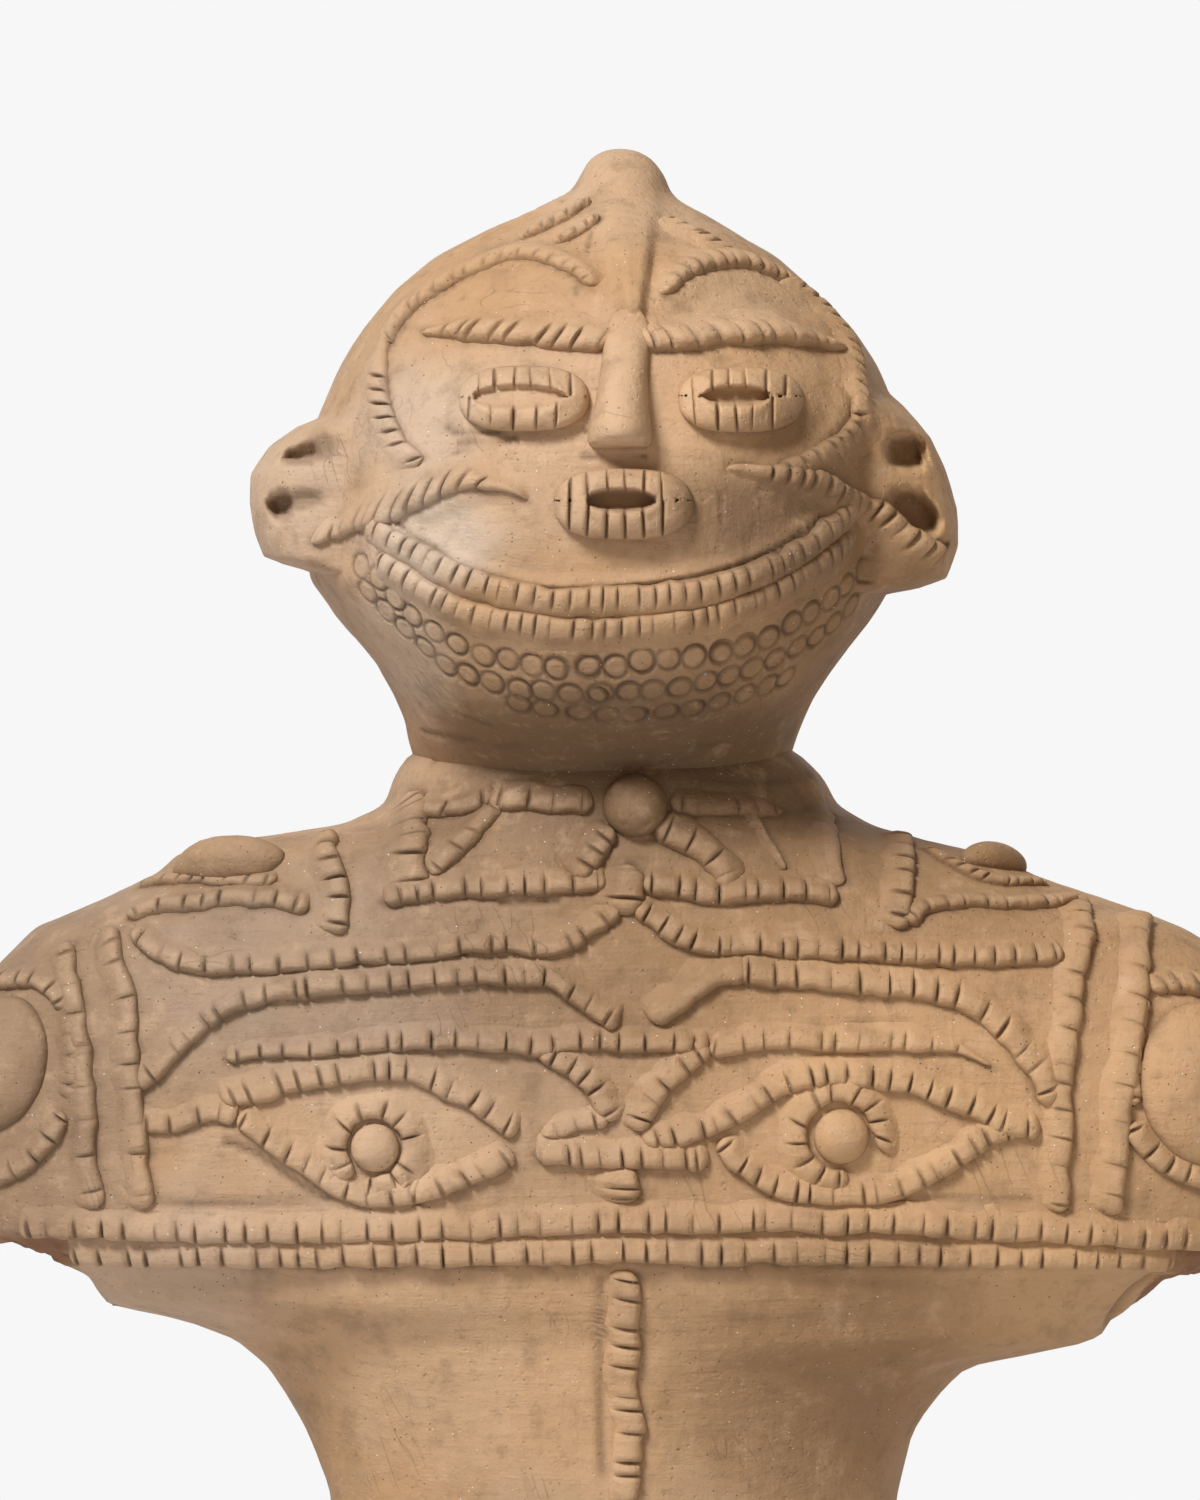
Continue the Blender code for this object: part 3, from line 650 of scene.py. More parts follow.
STUB_LEVELS: Levels = (
    (195.0, 104.0, 0.0, 0.0, 0.0, 2.0),
    (194.6, 104.0, 3.0, 7.0, 7.0, 2.0),
    (190.0, 104.0, 7.8, 14.8, 13.8, 2.0),
    (180.0, 104.0, 11.3, 19.8, 18.8, 2.2),
    (172.0, 104.0, 12.3, 21.8, 20.8, 2.3),
    (140.0, 104.0, 12.3, 21.8, 20.8, 2.3),
    (140.0, 104.0, 0.0, 0.0, 0.0, 2.3),
)
HEAD_LEVELS: Levels = (
    (360.0, -0.8, 0.0, 0.0, 0.0, 2.0),
    (359.6, -0.8, 3.0, 4.0, 3.6, 2.0),
    (358.0, -0.8, 5.4, 8.2, 6.6, 2.0),
    (355.0, -0.4, 7.2, 12.0, 9.0, 2.0),
    (352.3, -0.7, 8.3, 14.5, 11.0, 2.0),
    (350.4, -1.4, 11.2, 17.5, 14.0, 2.0),
    (346.5, -2.7, 20.2, 25.0, 21.0, 2.0),
    (341.0, -3.6, 30.6, 33.5, 29.0, 2.1),
    (335.0, -3.9, 37.5, 40.5, 36.0, 2.15),
    (328.0, -3.1, 43.8, 46.0, 42.0, 2.2),
    (320.0, -3.0, 48.6, 50.0, 46.5, 2.3),
    (312.0, -3.2, 51.8, 52.5, 49.0, 2.35),
    (302.0, -3.5, 53.2, 54.5, 50.0, 2.4),
    (292.0, -3.5, 53.2, 55.5, 49.5, 2.4),
    (283.0, -3.8, 52.8, 55.5, 47.5, 2.35),
    (275.0, -3.4, 47.5, 54.5, 44.5, 2.3),
    (268.0, -3.1, 41.6, 52.5, 41.0, 2.2),
    (262.0, -3.6, 37.6, 49.0, 37.0, 2.15),
    (257.5, -3.8, 35.6, 43.0, 33.5, 2.1),
    (253.5, -4.2, 34.6, 35.5, 30.5, 2.05),
    (249.0, -4.0, 33.0, 28.0, 27.5, 2.0),
    (246.0, -4.0, 30.0, 25.0, 25.0, 2.0),
    (245.0, -4.0, 0.0, 0.0, 0.0, 2.0),
)


def finish_piece(skin: Skin, clay: bpy.types.Material) -> bpy.types.Object:
    """Turn a skin into a finished object that stands for the clay node.

    Args:
        skin: the closed mesh.
        clay: its material.

    Returns:
        The object, riding on the figure.
    """
    mesh = skin.mesh
    mesh.materials.clear()
    mesh.materials.append(clay)
    mesh.shade_smooth()
    piece = bpy.data.objects.new(mesh.name, mesh)
    bpy.context.scene.collection.objects.link(piece)
    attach(piece, "root")
    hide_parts(NODE)
    LOG.info("%s: %d faces", mesh.name, len(mesh.polygons))
    return piece


@dataclass
class Head:
    """The head, with its crest, ears and punched jaw."""

    columns: int = 468
    rows: int = 211
    form: Form = field(default_factory=lambda: Form(HEAD_LEVELS, 1.2, 2.2))
    ear_y: float = -14.0
    ear_half_depth: float = 12.0
    sunk: float = 1.1

    def skin(self) -> Skin:
        """The head's skin without its fine relief."""
        skin = Skin("head_clay", self.columns, self.rows)
        rows = self.form.rows(self.rows, self._row_density)
        angles = self.form.angles(self.columns, 266.0, lambda y: np.where(y < 0.0, 3.0, 0.55))
        self.form.cover(skin, rows, angles)
        skin.place(self._with_ears(skin.points()))
        skin.push(-self.sunk * basin(FACE_OUTLINE, skin.points(), 3.2))
        skin.place(self._with_crest(skin.points()))
        return skin

    @staticmethod
    def _row_density(height: np.ndarray) -> np.ndarray:
        """Rows are closest on the punched jaw."""
        jaw = ease(253.0, 256.0, height) * (1.0 - ease(284.0, 290.0, height))
        ears = ease(282.0, 288.0, height) * (1.0 - ease(312.0, 316.0, height))
        return 0.80 + 2.3 * jaw + 0.5 * ears + 0.25 * ease(345.0, 350.0, height)

    @staticmethod
    def _with_crest(points: np.ndarray) -> np.ndarray:
        """Raise the ridge that runs from the knob down to the brows, steeper on its right."""
        x, y, z = points.T
        middle = np.interp(z, [329.0, 340.0, 352.0], [1.4, 1.1, -0.3])
        half = np.interp(z, [328.5, 332.0, 336.0, 340.0, 345.0, 350.0, 356.0], [1.2, 2.0, 2.7, 3.5, 4.7, 6.0, 7.4])
        rise = np.interp(z, [328.0, 331.0, 335.0, 340.0, 345.0, 349.0, 353.0, 357.0],
                         [0.0, 2.3, 3.2, 3.7, 3.6, 2.6, 1.2, 0.0])
        off = (x - middle) / half
        steep = np.where(off > 0.0, 6.5, 2.6)
        out = points.copy()
        out[:, 1] -= rise * np.exp(-np.abs(off) ** steep) * (y < 0.0)
        return out

    def _with_ears(self, points: np.ndarray) -> np.ndarray:
        """Pull the sides out into thick ear flanges."""
        x, y, z = points.T
        reach = np.abs((y - self.ear_y) / self.ear_half_depth)
        plateau = np.sqrt(np.clip(1.0 - reach**2.6, 0.0, 1.0))
        left = np.interp(z, [284.0, 285.5, 286.8, 290.5, 296.4, 301.6, 306.6, 310.0, 311.6],
                         [0.0, 5.8, 9.4, 10.9, 11.8, 11.6, 9.0, 4.4, 0.0])
        right = np.interp(z, [280.0, 281.2, 283.0, 288.9, 295.7, 302.3, 308.2, 313.4, 316.5],
                          [0.0, 6.0, 10.0, 11.4, 10.9, 9.0, 6.7, 3.0, 0.0])
        out = points.copy()
        out[:, 0] += np.where(x < 0.0, -left, right) * plateau
        return out


@dataclass
class Trunk:
    """Chest, shoulders and the two broken arms, open below, down to the waist."""

    columns: int = 440
    rows: int = 215
    form: Form = field(default_factory=lambda: Form(BODY_LEVELS, 1.4, 5.0))

    def skin(self) -> Skin:
        """The trunk's skin without its fine relief."""
        skin = Skin("trunk_clay", self.columns, self.rows)
        rows = self.form.rows(self.rows, lambda z: 0.6 + 0.75 * (ease(155.0, 160.0, z) - ease(246.0, 250.0, z)))
        angles = self.form.angles(self.columns, 190.0, lambda y: np.where(y < 0.0, 1.15, 0.55))
        self.form.cover(skin, rows, angles)
        return skin


@dataclass
class LowerBody:
    """Hips and two stout legs with flat soles, fused into one skin."""

    grain: float = 1.15
    hips: Form = field(default_factory=lambda: Form(HIP_LEVELS))
    leg: Form = field(default_factory=lambda: Form(LEG_LEVELS, 0.5, 0.5))

    def skin(self) -> Skin:
        """The fused skin."""
        hips = Skin("lower_clay", 96, 60)
        even = lambda _: np.ones(1)
        self.hips.cover(hips, self.hips.rows(60, even), self.hips.angles(96, 80.0, even))
        joined = bmesh.new()
        joined.from_mesh(hips.mesh)
        for side in (-1.0, 1.0):
            leg = Skin("leg", 64, 60)
            self.leg.cover(leg, self.leg.rows(60, even), self.leg.angles(64, 30.0, even))
            points = leg.points()
            points[:, 0] *= side
            leg.place(points)
            leg.face_out()
            joined.from_mesh(leg.mesh)
            bpy.data.meshes.remove(leg.mesh)
        joined.to_mesh(hips.mesh)
        joined.free()
        return fuse(hips, self.grain)


def hand_shape(skin: Skin, seed: int) -> Skin:
    """Give a bare body the slow unevenness of hand shaping.

    Args:
        skin: the body.
        seed: start of its waves.

    Returns:
        The same skin.
    """
    points = skin.points()
    broad, middle = (Ripple(length, seed + k).at(points) for k, length in enumerate((42.0, 13.0)))
    skin.push(0.55 * broad + 0.24 * middle)
    return skin


def fuse(skin: Skin, grain: float) -> Skin:
    """Fuse overlapping closed shells into one evenly meshed skin.

    Args:
        skin: the skin that holds the shells.
        grain: size of the new faces, in drawing units.

    Returns:
        The same skin with its new mesh.
    """
    rough = bpy.data.objects.new("fusing", skin.mesh)
    bpy.context.scene.collection.objects.link(rough)
    mesher = rough.modifiers.new("fuse", "REMESH")
    mesher.mode = "VOXEL"
    mesher.voxel_size = grain * UNIT
    soft = rough.modifiers.new("even", "SMOOTH")
    soft.factor = 0.5
    soft.iterations = 5
    bpy.context.view_layer.update()
    graph = bpy.context.evaluated_depsgraph_get()
    fused = bpy.data.meshes.new_from_object(rough.evaluated_get(graph))
    name = skin.mesh.name
    bpy.data.objects.remove(rough, do_unlink=True)
    bpy.data.meshes.remove(skin.mesh)
    fused.name = name
    skin.mesh = fused
    return skin


# Cords and other clay pressed on the bodies


class Ground:
    """The bare bodies, on which the relief is laid by ray casting."""

    def __init__(self, skins: Sequence[Skin]) -> None:
        """Keep one search tree for each body."""
        self.trees = [skin.tree() for skin in skins]

    def drop(self, x: float, z: float, side: Side = Side.FRONT) -> tuple[np.ndarray, np.ndarray] | None:
        """Find the outermost clay at a place.

        Args:
            x: the place's x.
            z: the place's height.
            side: the way from which the ray comes.

        Returns:
            The point and its normal, or None beside the figure.
        """
        start = Vector((x, side.value * 400.0, z))
        hits = [tree.ray_cast(start, Vector((0.0, -side.value, 0.0))) for tree in self.trees]
        hits = [hit for hit in hits if hit[0] is not None]
        if not hits:
            return None
        point, normal, _, _ = min(hits, key=lambda hit: hit[3])
        return np.array(point), np.array(normal)

    def nearest(self, point: np.ndarray) -> tuple[np.ndarray, np.ndarray]:
        """The nearest spot of the clay and its normal."""
        found = [tree.find_nearest(Vector(point)) for tree in self.trees]
        near, normal, _, _ = min(found, key=lambda hit: hit[3])
        return np.array(near), np.array(normal)

    def depths(self, x: np.ndarray, z: np.ndarray) -> np.ndarray:
        """The y of the clay in front of each place, evened over misses by the last hit."""
        out, last = [], 0.0
        for px, pz in zip(x.ravel(), z.ravel()):
            hit = self.drop(float(px), float(pz))
            last = last if hit is None else float(hit[0][1])
            out.append(last)
        return np.array(out).reshape(x.shape)


class Batch:
    """Closed skins gathered in one mesh, each from its own ball."""

    def __init__(self, name: str) -> None:
        """Start an empty mesh."""
        self.name = name
        self.bm = bmesh.new()
        # Numbers for each vertex: painted shade and dark marks, rubbed tops, and broken clay.
        self.layers = {key: self.bm.verts.layers.float.new(key) for key in ("painted_shade_and_dark_marks", "proud", "broken")}
        self.spines: list[tuple[np.ndarray, float]] = []
        self.edges: list[np.ndarray] = []

    def ball(self, grid: np.ndarray, first: np.ndarray, last: np.ndarray, numbers: dict[str, np.ndarray]) -> None:
        """Add a closed skin.

        Args:
            grid: points by ring and column, in drawing units.
            first: the point that closes the first ring.
            last: the point that closes the last ring.
            numbers: values by name for each ring and column.
        """
        rings, columns = grid.shape[:2]
        for vert in add_ball(self.bm, columns, rings + 1):
            ring = round((vert.co.y + 1.0) * 0.5 * (rings + 1)) - 1
            column = round((vert.co.x + 1.0) * 0.5 * columns) % columns
            if 0 <= ring < rings:
                vert.co = grid[ring, column] * UNIT
                for key, values in numbers.items():
                    vert[self.layers[key]] = values[ring, column]
            else:
                vert.co = (first if ring < 0 else last) * UNIT

    def skin(self) -> Skin:
        """The finished mesh."""
        bmesh.ops.recalc_face_normals(self.bm, faces=self.bm.faces)
        mesh = bpy.data.meshes.new(self.name)
        self.bm.to_mesh(mesh)
        self.bm.free()
        return Skin.wrap(mesh)


@dataclass(frozen=True)
class Cord:
    """A strip of clay pressed on along a path and notched across.

    Pitch is the distance between notches, or 0 for a plain strip; slant leans the notches, in degrees;
    tilt gives how far each bead slopes down to its notch; smear is how far the upper side, or the lower
    one of a turned cord, is rubbed out into the clay, in half widths; taper gives the share of the width
    and rise left at the two ends; bite is how much of the width the notches cross; bare is the length
    without notches at each end.
    """

    path: Path
    width: float = 4.3
    rise: float = 1.6
    pitch: float = 4.2
    slant: float = 0.0
    notch: float = 0.33
    depth: float = 0.70
    tilt: float = 0.16
    smear: float = 1.7
    turned: bool = False
    start_taper: float = 1.0
    end_taper: float = 1.0
    wobble: float = 0.28
    side: Side = Side.FRONT
    root: float = 2.4
    reach: float = 90.0
    bite: float = 1.0
    bare: tuple[float, float] = (0.0, 0.0)

    def lay(self, ground: Ground) -> tuple[np.ndarray, np.ndarray, np.ndarray] | None:
        """The course over the clay: distances along it, points and evened normals."""
        hits = [ground.drop(x, z, self.side) for x, z in curve_through(self.path, 0.9)]
        hits = [hit for hit in hits if hit is not None]
        if len(hits) < 4:
            return None
        points = np.array([hit[0] for hit in hits])
        normals = np.array([hit[1] for hit in hits])
        normals = soften(normals, 2.4)
        points = np.concatenate([points[:1], soften(points, 0.8)[1:-1], points[-1:]])
        along = np.concatenate([[0.0], np.cumsum(np.linalg.norm(np.diff(points, axis=0), axis=1))])
        keep = np.concatenate([[True], np.diff(along) > 1e-4])
        return along[keep], points[keep], normals[keep]

    def rings(self, length: float, rng: np.random.Generator) -> tuple[np.ndarray, np.ndarray, np.ndarray]:
        """Where the rings lie, how far each is pressed in, and how dark its cut is painted, as shade in the notch.
        """
        cap = min(0.42 * self.width, 0.45 * length)
        ends = cap * (1.0 - np.cos(np.linspace(0.3, 1.4, 5)))
        spots = [ends, length - ends, np.arange(cap, length - cap, 1.3)]
        count = max(1, round(length / self.pitch)) if self.pitch > 0.0 else 0
        centres = (np.arange(count) + 0.5) * length / max(count, 1)
        centres = centres + rng.normal(0.0, 0.15 * self.pitch, count)
        steep = self.notch * rng.uniform(0.7, 1.15, count)
        ramp = steep + self.tilt * self.pitch * rng.uniform(0.35, 0.75, count)
        for offset in (-1.0, -0.5):
            spots.append(centres + offset * steep)
        for share in (0.0, 1.0):
            spots.append(centres + (steep * 0.45) + (ramp - steep * 0.45) * share)
        spots.append(centres)
        along = np.unique(np.concatenate(spots))
        along = along[(along > 0.02) & (along < length - 0.02)]
        along = along[np.concatenate([[True], np.diff(along) > 0.07])]
        pressed, dark = np.zeros(len(along)), np.zeros(len(along))
        faint = rng.uniform(0.0, 1.0, count) < 0.16
        deep = self.depth * np.where(faint, 0.35, rng.uniform(0.7, 1.1, count))
        deep *= (centres >= self.bare[0]) & (centres <= length - self.bare[1])
        for centre, before, after, amount in zip(centres, steep, ramp, deep):
            off = along - centre
            near = np.where(off < 0.0, 1.0 + off / before, 1.0 - off / after)
            pressed = np.maximum(pressed, np.clip(near, 0.0, 1.0) * amount)
            dark = np.maximum(dark, np.clip(1.35 - np.abs(off) / self.notch, 0.0, 1.0) * min(1.0, amount * 1.3))
        return along, pressed, dark

    def section(self) -> tuple[np.ndarray, np.ndarray, np.ndarray]:
        """Across and up shares of the section, smeared on its first side, and how far a notch cuts there."""
        out = self.smear - 1.0
        across = np.array([1.0 + out, 1.0 + 0.7 * out, 1.0 + 0.42 * out, 1.0 + 0.16 * out, 0.88, 0.64, 0.34, 0.02,
                           -0.28, -0.54, -0.76, -0.91, -1.01, -1.07, -0.8, 0.0, 0.9])
        up = np.array([-0.07, 0.03, 0.12, 0.27, 0.45, 0.66, 0.84, 0.95, 1.0, 0.98, 0.87, 0.64, 0.28, -0.12,
                       -1.0, -1.0, -1.0])
        cut = np.array([0.0, 0.0, 0.0, 0.0, 0.12, 0.45, 0.8, 0.95, 1.0, 1.0, 1.0, 0.95, 0.6, 0.0, 0.0, 0.0, 0.0])
        return across, up, cut * (1.0 - (1.0 - ease(0.0, 0.9, self.bite * 2.0 - 1.0 - across)) * (self.bite < 1.0))

    def add_to(self, batch: Batch, ground: Ground, seed: int) -> None:
        """Lay the cord and add its skin to a batch."""
        laid = self.lay(ground)
        if laid is None:
            LOG.warning("%s: a cord misses the clay at %s", batch.name, self.path[0])
            return
        run, points, normals = laid
        length = run[-1]
        rng = np.random.default_rng(SEED * 1000 + seed)
        along, pressed, dark = self.rings(length, rng)
        across, up, cut = self.section()
        cap = min(0.42 * self.width, 0.45 * length)
        end = np.minimum(along, length - along)
        tip = np.sqrt(np.clip(1.0 - (1.0 - np.clip(end / cap, 0.0, 1.0)) ** 2, 0.0, 1.0))
        share = np.interp(along / length, [0.0, 0.3, 0.7, 1.0], [self.start_taper, 1.0, 1.0, self.end_taper])

        def waver(step: float) -> np.ndarray:
            """A slow random run along the cord."""
            knots = np.arange(0.0, length + 2.0 * step, step)
            return np.interp(along, knots, rng.normal(0.0, 1.0, len(knots)))

        half = 0.5 * self.width * share * tip
        edges = np.stack([half * (1.0 + 0.10 * waver(2.6)), half * (1.0 + 0.09 * waver(2.2))], axis=1)
        reach = np.where(across[None, :] > 0.0, edges[:, :1], edges[:, 1:]) * across[None, :]
        rise = self.rise * np.sqrt(share) * tip * (1.0 + 0.10 * waver(4.0))
        slant = math.tan(math.radians(self.slant)) + np.interp(along, [0.0, length], rng.normal(0.0, 0.10, 2))
        tangents = np.gradient(points, run, axis=0)
        middle = len(run) // 2
        sideways = np.cross(tangents[middle], normals[middle])
        hand = 1.0 if (sideways[2] - 0.4 * sideways[0] > 0.0) != self.turned else -1.0
        lean = (-1.0 if self.turned else 1.0) * (1.0 if tangents[middle, 0] >= 0.0 else -1.0)
        spot = np.clip(along[:, None] + lean * reach * slant[:, None], 0.0, length)
        base = np.stack([np.interp(spot, run, p) for p in points.T], axis=2)
        normal = np.stack([np.interp(spot, run, n) for n in normals.T], axis=2)
        tangent = np.stack([np.interp(spot, run, p) for p in tangents.T], axis=2)
        tangent /= np.linalg.norm(tangent, axis=2, keepdims=True)
        normal -= tangent * (normal * tangent).sum(axis=2, keepdims=True)
        normal /= np.linalg.norm(normal, axis=2, keepdims=True)
        side = np.cross(tangent, normal) * hand
        shift = self.wobble * waver(7.0)[:, None]
        height = np.where(up[None, :] > 0.0, up[None, :] * rise[:, None] * (1.0 - pressed[:, None] * cut[None, :]),
                          up[None, :] * self.root)
        flat = base + side * (reach + shift)[..., None]
        for i, j in np.ndindex(len(along), 14):
            flat[i, j] = ground.nearest(flat[i, j])[0]
        grid = flat + normal * height[..., None]
        lumps = Ripple(3.2, seed).at(grid.reshape(-1, 3)).reshape(height.shape)
        grid += normal * (0.10 * lumps * (up[None, :] > 0.5))[..., None]
        # Painted shade: darker in the notches and along the crisp lower root of the cord.
        crisp = np.where(across < -0.95, 0.30, 0.0)
        numbers = {
            "painted_shade_and_dark_marks": np.clip(dark[:, None] * cut[None, :] ** 2 * 0.72 + crisp[None, :], 0.0, 1.0),
            "proud": np.clip(ease(0.8, 1.0, up)[None, :] * (1.0 - pressed[:, None] * 2.0), 0.0, 1.0),
        }
        batch.spines.append((points, 0.5 * self.width))
        batch.edges.append(grid[:, 12])
        first = base[0].mean(axis=0) - tangent[0].mean(axis=0) * 0.1 * tip[0]
        last = base[-1].mean(axis=0) + tangent[-1].mean(axis=0) * 0.1 * tip[-1]
        batch.ball(grid, first, last, numbers)


@dataclass(frozen=True)
class Belt(Cord):
    """A cord wound once around a body at a height, given by the path's only place: its centre x and height."""

    def lay(self, ground: Ground) -> tuple[np.ndarray, np.ndarray, np.ndarray]:
        """The course around the body, from the back and round to the back again."""
        centre, height = self.path[0]
        hits = []
        for angle in np.radians(np.arange(91.0, 448.0, 2.0)):
            way = Vector((math.cos(angle), math.sin(angle), 0.0))
            start = Vector((centre, AXIS_Y, height))
            near = [tree.ray_cast(start + way * self.reach, -way, self.reach) for tree in ground.trees]
            near = [hit for hit in near if hit[0] is not None]
            if near:
                point, normal, _, _ = min(near, key=lambda hit: hit[3])
                hits.append((np.array(point), np.array(normal)))
        points = soften(np.array([hit[0] for hit in hits]), 1.0)
        normals = soften(np.array([hit[1] for hit in hits]), 2.0)
        along = np.concatenate([[0.0], np.cumsum(np.linalg.norm(np.diff(points, axis=0), axis=1))])
        return along, points, normals


@dataclass(frozen=True)
class Oval:
    """A fat oval pad that lies along X, with a slit and notches above and below it."""

    x: float
    z: float
    half_width: float
    half_height: float
    rise: float
    slit: tuple[float, float, float, float]
    upper: tuple[float, ...]
    lower: tuple[float, ...]
    notch: float = 0.40
    floor: float = 0.80
    columns: int = 56

    def add_to(self, batch: Batch, ground: Ground) -> None:
        """Add the pad's skin to a batch."""
        left, right = self.x - self.half_width, self.x + self.half_width
        spots = [left + self.half_width * (1.0 - np.cos(np.linspace(0.03, math.pi - 0.03, 60)))]
        for mark in (*self.upper, *self.lower):
            spots.append(mark + self.notch * np.array([-1.0, -0.55, -0.14, 0.14, 0.55, 1.0]))
        x = np.unique(np.concatenate(spots))
        x = x[(x > left + 0.02) & (x < right - 0.02)]
        x = x[np.concatenate([[True], np.diff(x) > 0.05])]
        share = np.abs((x - self.x) / self.half_width)
        half = self.half_height * (1.0 - share**2.7) ** (1.0 / 2.3)
        front = 46
        c = np.concatenate([np.cos(np.linspace(0.0, math.pi, front + 1)[:-1]),
                            -np.cos(np.linspace(0.0, math.pi, self.columns - front + 1)[:-1])])
        up = np.concatenate([np.ones(front), -np.ones(self.columns - front)]) * np.sqrt(1.0 - c**2)
        lift = np.sign(up) * np.abs(up) ** 0.55
        z = self.z + half[:, None] * c[None, :]
        xs = np.repeat(x[:, None], self.columns, axis=1)
        dome = (1.0 - share**3.0)[:, None] ** 0.4
        height = np.where(up > 0.0, lift * self.rise, lift * 3.2) * dome
        above = ease(-0.25, 0.25, z - self._middle(xs))
        groove = above * self._notches(xs, z, self.upper) + (1.0 - above) * self._notches(xs, z, self.lower)
        gap = self._gap(xs, z)
        ahead = np.maximum(height, 0.0)
        groove = groove * (1.0 - 0.75 * ease(0.93, 1.0, np.abs(c)))[None, :]
        height = height - groove * ahead * 0.34 * (1.0 - gap) - gap * (self.rise * self.floor) * (up > 0.0)
        bulge = self._lip(xs, z) * 0.35 * (up > 0.0)
        y = ground.depths(xs, z) - height - bulge
        # Painted shade: darker in the notches, in the slit and under the pad's rim.
        numbers = {
            "painted_shade_and_dark_marks": np.clip(ease(0.3, 0.9, groove) * (1.0 - gap) * 0.85 + gap * (self.floor - 0.35)
                              + (1.0 - ease(0.05, 0.4, np.maximum(up, 0.0)))[None, :] * 0.35, 0.0, 1.0),
            "proud": np.clip((up > 0.7) * (1.0 - groove) * (1.0 - gap), 0.0, 1.0),
        }
        grid = np.stack([xs, y, z], axis=2)
        ends = [np.array([mark, grid[k, :, 1].mean(), self.z]) for mark, k in ((left, 0), (right, -1))]
        batch.ball(grid, ends[0], ends[1], numbers)
        ring = np.linspace(0.0, 2.0 * math.pi, 60)
        edge = np.stack([self.x + (self.half_width - 1.5) * np.cos(ring), np.interp(
            self.x + self.half_width * np.cos(ring), xs[:, 0], y.max(axis=1)),
            self.z + (self.half_height - 1.5) * np.sin(ring)], axis=1)
        batch.spines.append((edge, 1.5))

    def _middle(self, x: np.ndarray) -> np.ndarray:
        """The height of the slit's middle."""
        left, right, bottom, top = self.slit
        return np.full_like(x, 0.5 * (bottom + top))

    def _notches(self, x: np.ndarray, z: np.ndarray, marks: tuple[float, ...]) -> np.ndarray:
        """How deep the notches are at each place, 0 to about 1, each with a width and lean of its own."""
        deep = np.zeros_like(x)
        for k, mark in enumerate(marks):
            odd = math.sin(37.0 * mark + 5.0 * k)
            lean = 0.07 * math.sin(91.0 * mark)
            wide = self.notch * (1.0 + 0.35 * odd)
            near = 1.0 - np.abs(x - mark - lean * (z - self.z)) / wide
            deep = np.maximum(deep, np.clip(near, 0.0, 1.0) * (0.85 + 0.25 * odd))
        return deep

    def _slit_share(self, x: np.ndarray, z: np.ndarray) -> np.ndarray:
        """How far out of the slit's lens a point lies, 1 at its edge."""
        left, right, bottom, top = self.slit
        along = np.clip(np.abs((x - 0.5 * (left + right)) / (0.5 * (right - left))), 0.0, 1.0)
        half = 0.5 * (top - bottom) * np.sqrt(1.0 - along**2) + 0.02
        return np.abs(z - 0.5 * (bottom + top)) / half

    def _gap(self, x: np.ndarray, z: np.ndarray) -> np.ndarray:
        """1 in the slit, 0 outside it."""
        return 1.0 - ease(0.55, 1.15, self._slit_share(x, z))

    def _lip(self, x: np.ndarray, z: np.ndarray) -> np.ndarray:
        """A low swelling around the slit."""
        share = self._slit_share(x, z)
        return np.exp(-((share - 1.8) / 0.7) ** 2)


@dataclass(frozen=True)
class Boss:
    """A rounded lump of clay: place, half width, rise and half height."""

    x: float
    z: float
    half_width: float
    rise: float
    half_height: float
    lean: float = 0.0
    flat: float = 0.5
    side: Side = Side.FRONT

    def add_to(self, batch: Batch, ground: Ground) -> None:
        """Add the lump's skin to a batch."""
        reach = np.sin(np.linspace(0.03, 0.5 * math.pi, 22))
        rings = np.concatenate([reach, reach[-2::-1]])
        lift = np.concatenate([(1.0 - reach**2) ** self.flat, np.full(len(reach) - 1, -0.35)])
        turn = np.linspace(0.0, 2.0 * math.pi, 49)[:-1]
        lean = math.radians(self.lean)
        u = rings[:, None] * np.cos(turn) * self.half_width
        v = rings[:, None] * np.sin(turn) * self.half_height
        hit = ground.drop(self.x, self.z, self.side)
        if hit is None:
            LOG.warning("%s: a lump misses the clay at x %.1f", batch.name, self.x)
            return
        middle, normal = hit
        flank = np.cross(normal, (0.0, 0.0, 1.0))
        right = -flank / np.linalg.norm(flank)
        high = np.cross(right, normal) * -1.0
        sway = Ripple(0.9 * self.half_width, round(abs(self.x * 10.0)))
        flat = (middle + right * (u * math.cos(lean) - v * math.sin(lean))[..., None]
                + high * (u * math.sin(lean) + v * math.cos(lean))[..., None])
        grid = np.empty_like(flat)
        for i, j in np.ndindex(u.shape):
            near, out = ground.nearest(flat[i, j])
            grid[i, j] = near + (0.5 * out + 0.5 * normal) * lift[i] * self.rise
        grid += normal * (sway.at(grid.reshape(-1, 3)).reshape(u.shape) * 0.05 * self.rise)[..., None]
        # Painted shade around the lump's base.
        edge = 1.0 - ease(0.05, 0.45, np.maximum(lift, 0.0))
        numbers = {"painted_shade_and_dark_marks": np.repeat(edge[:, None] * 0.5, len(turn), axis=1),
                   "proud": np.repeat(ease(0.6, 1.0, lift)[:, None] * 0.6, len(turn), axis=1)}
        batch.ball(grid, grid[0].mean(axis=0), grid[-1].mean(axis=0), numbers)
        batch.spines.append((grid[len(reach) - 1], 0.4))


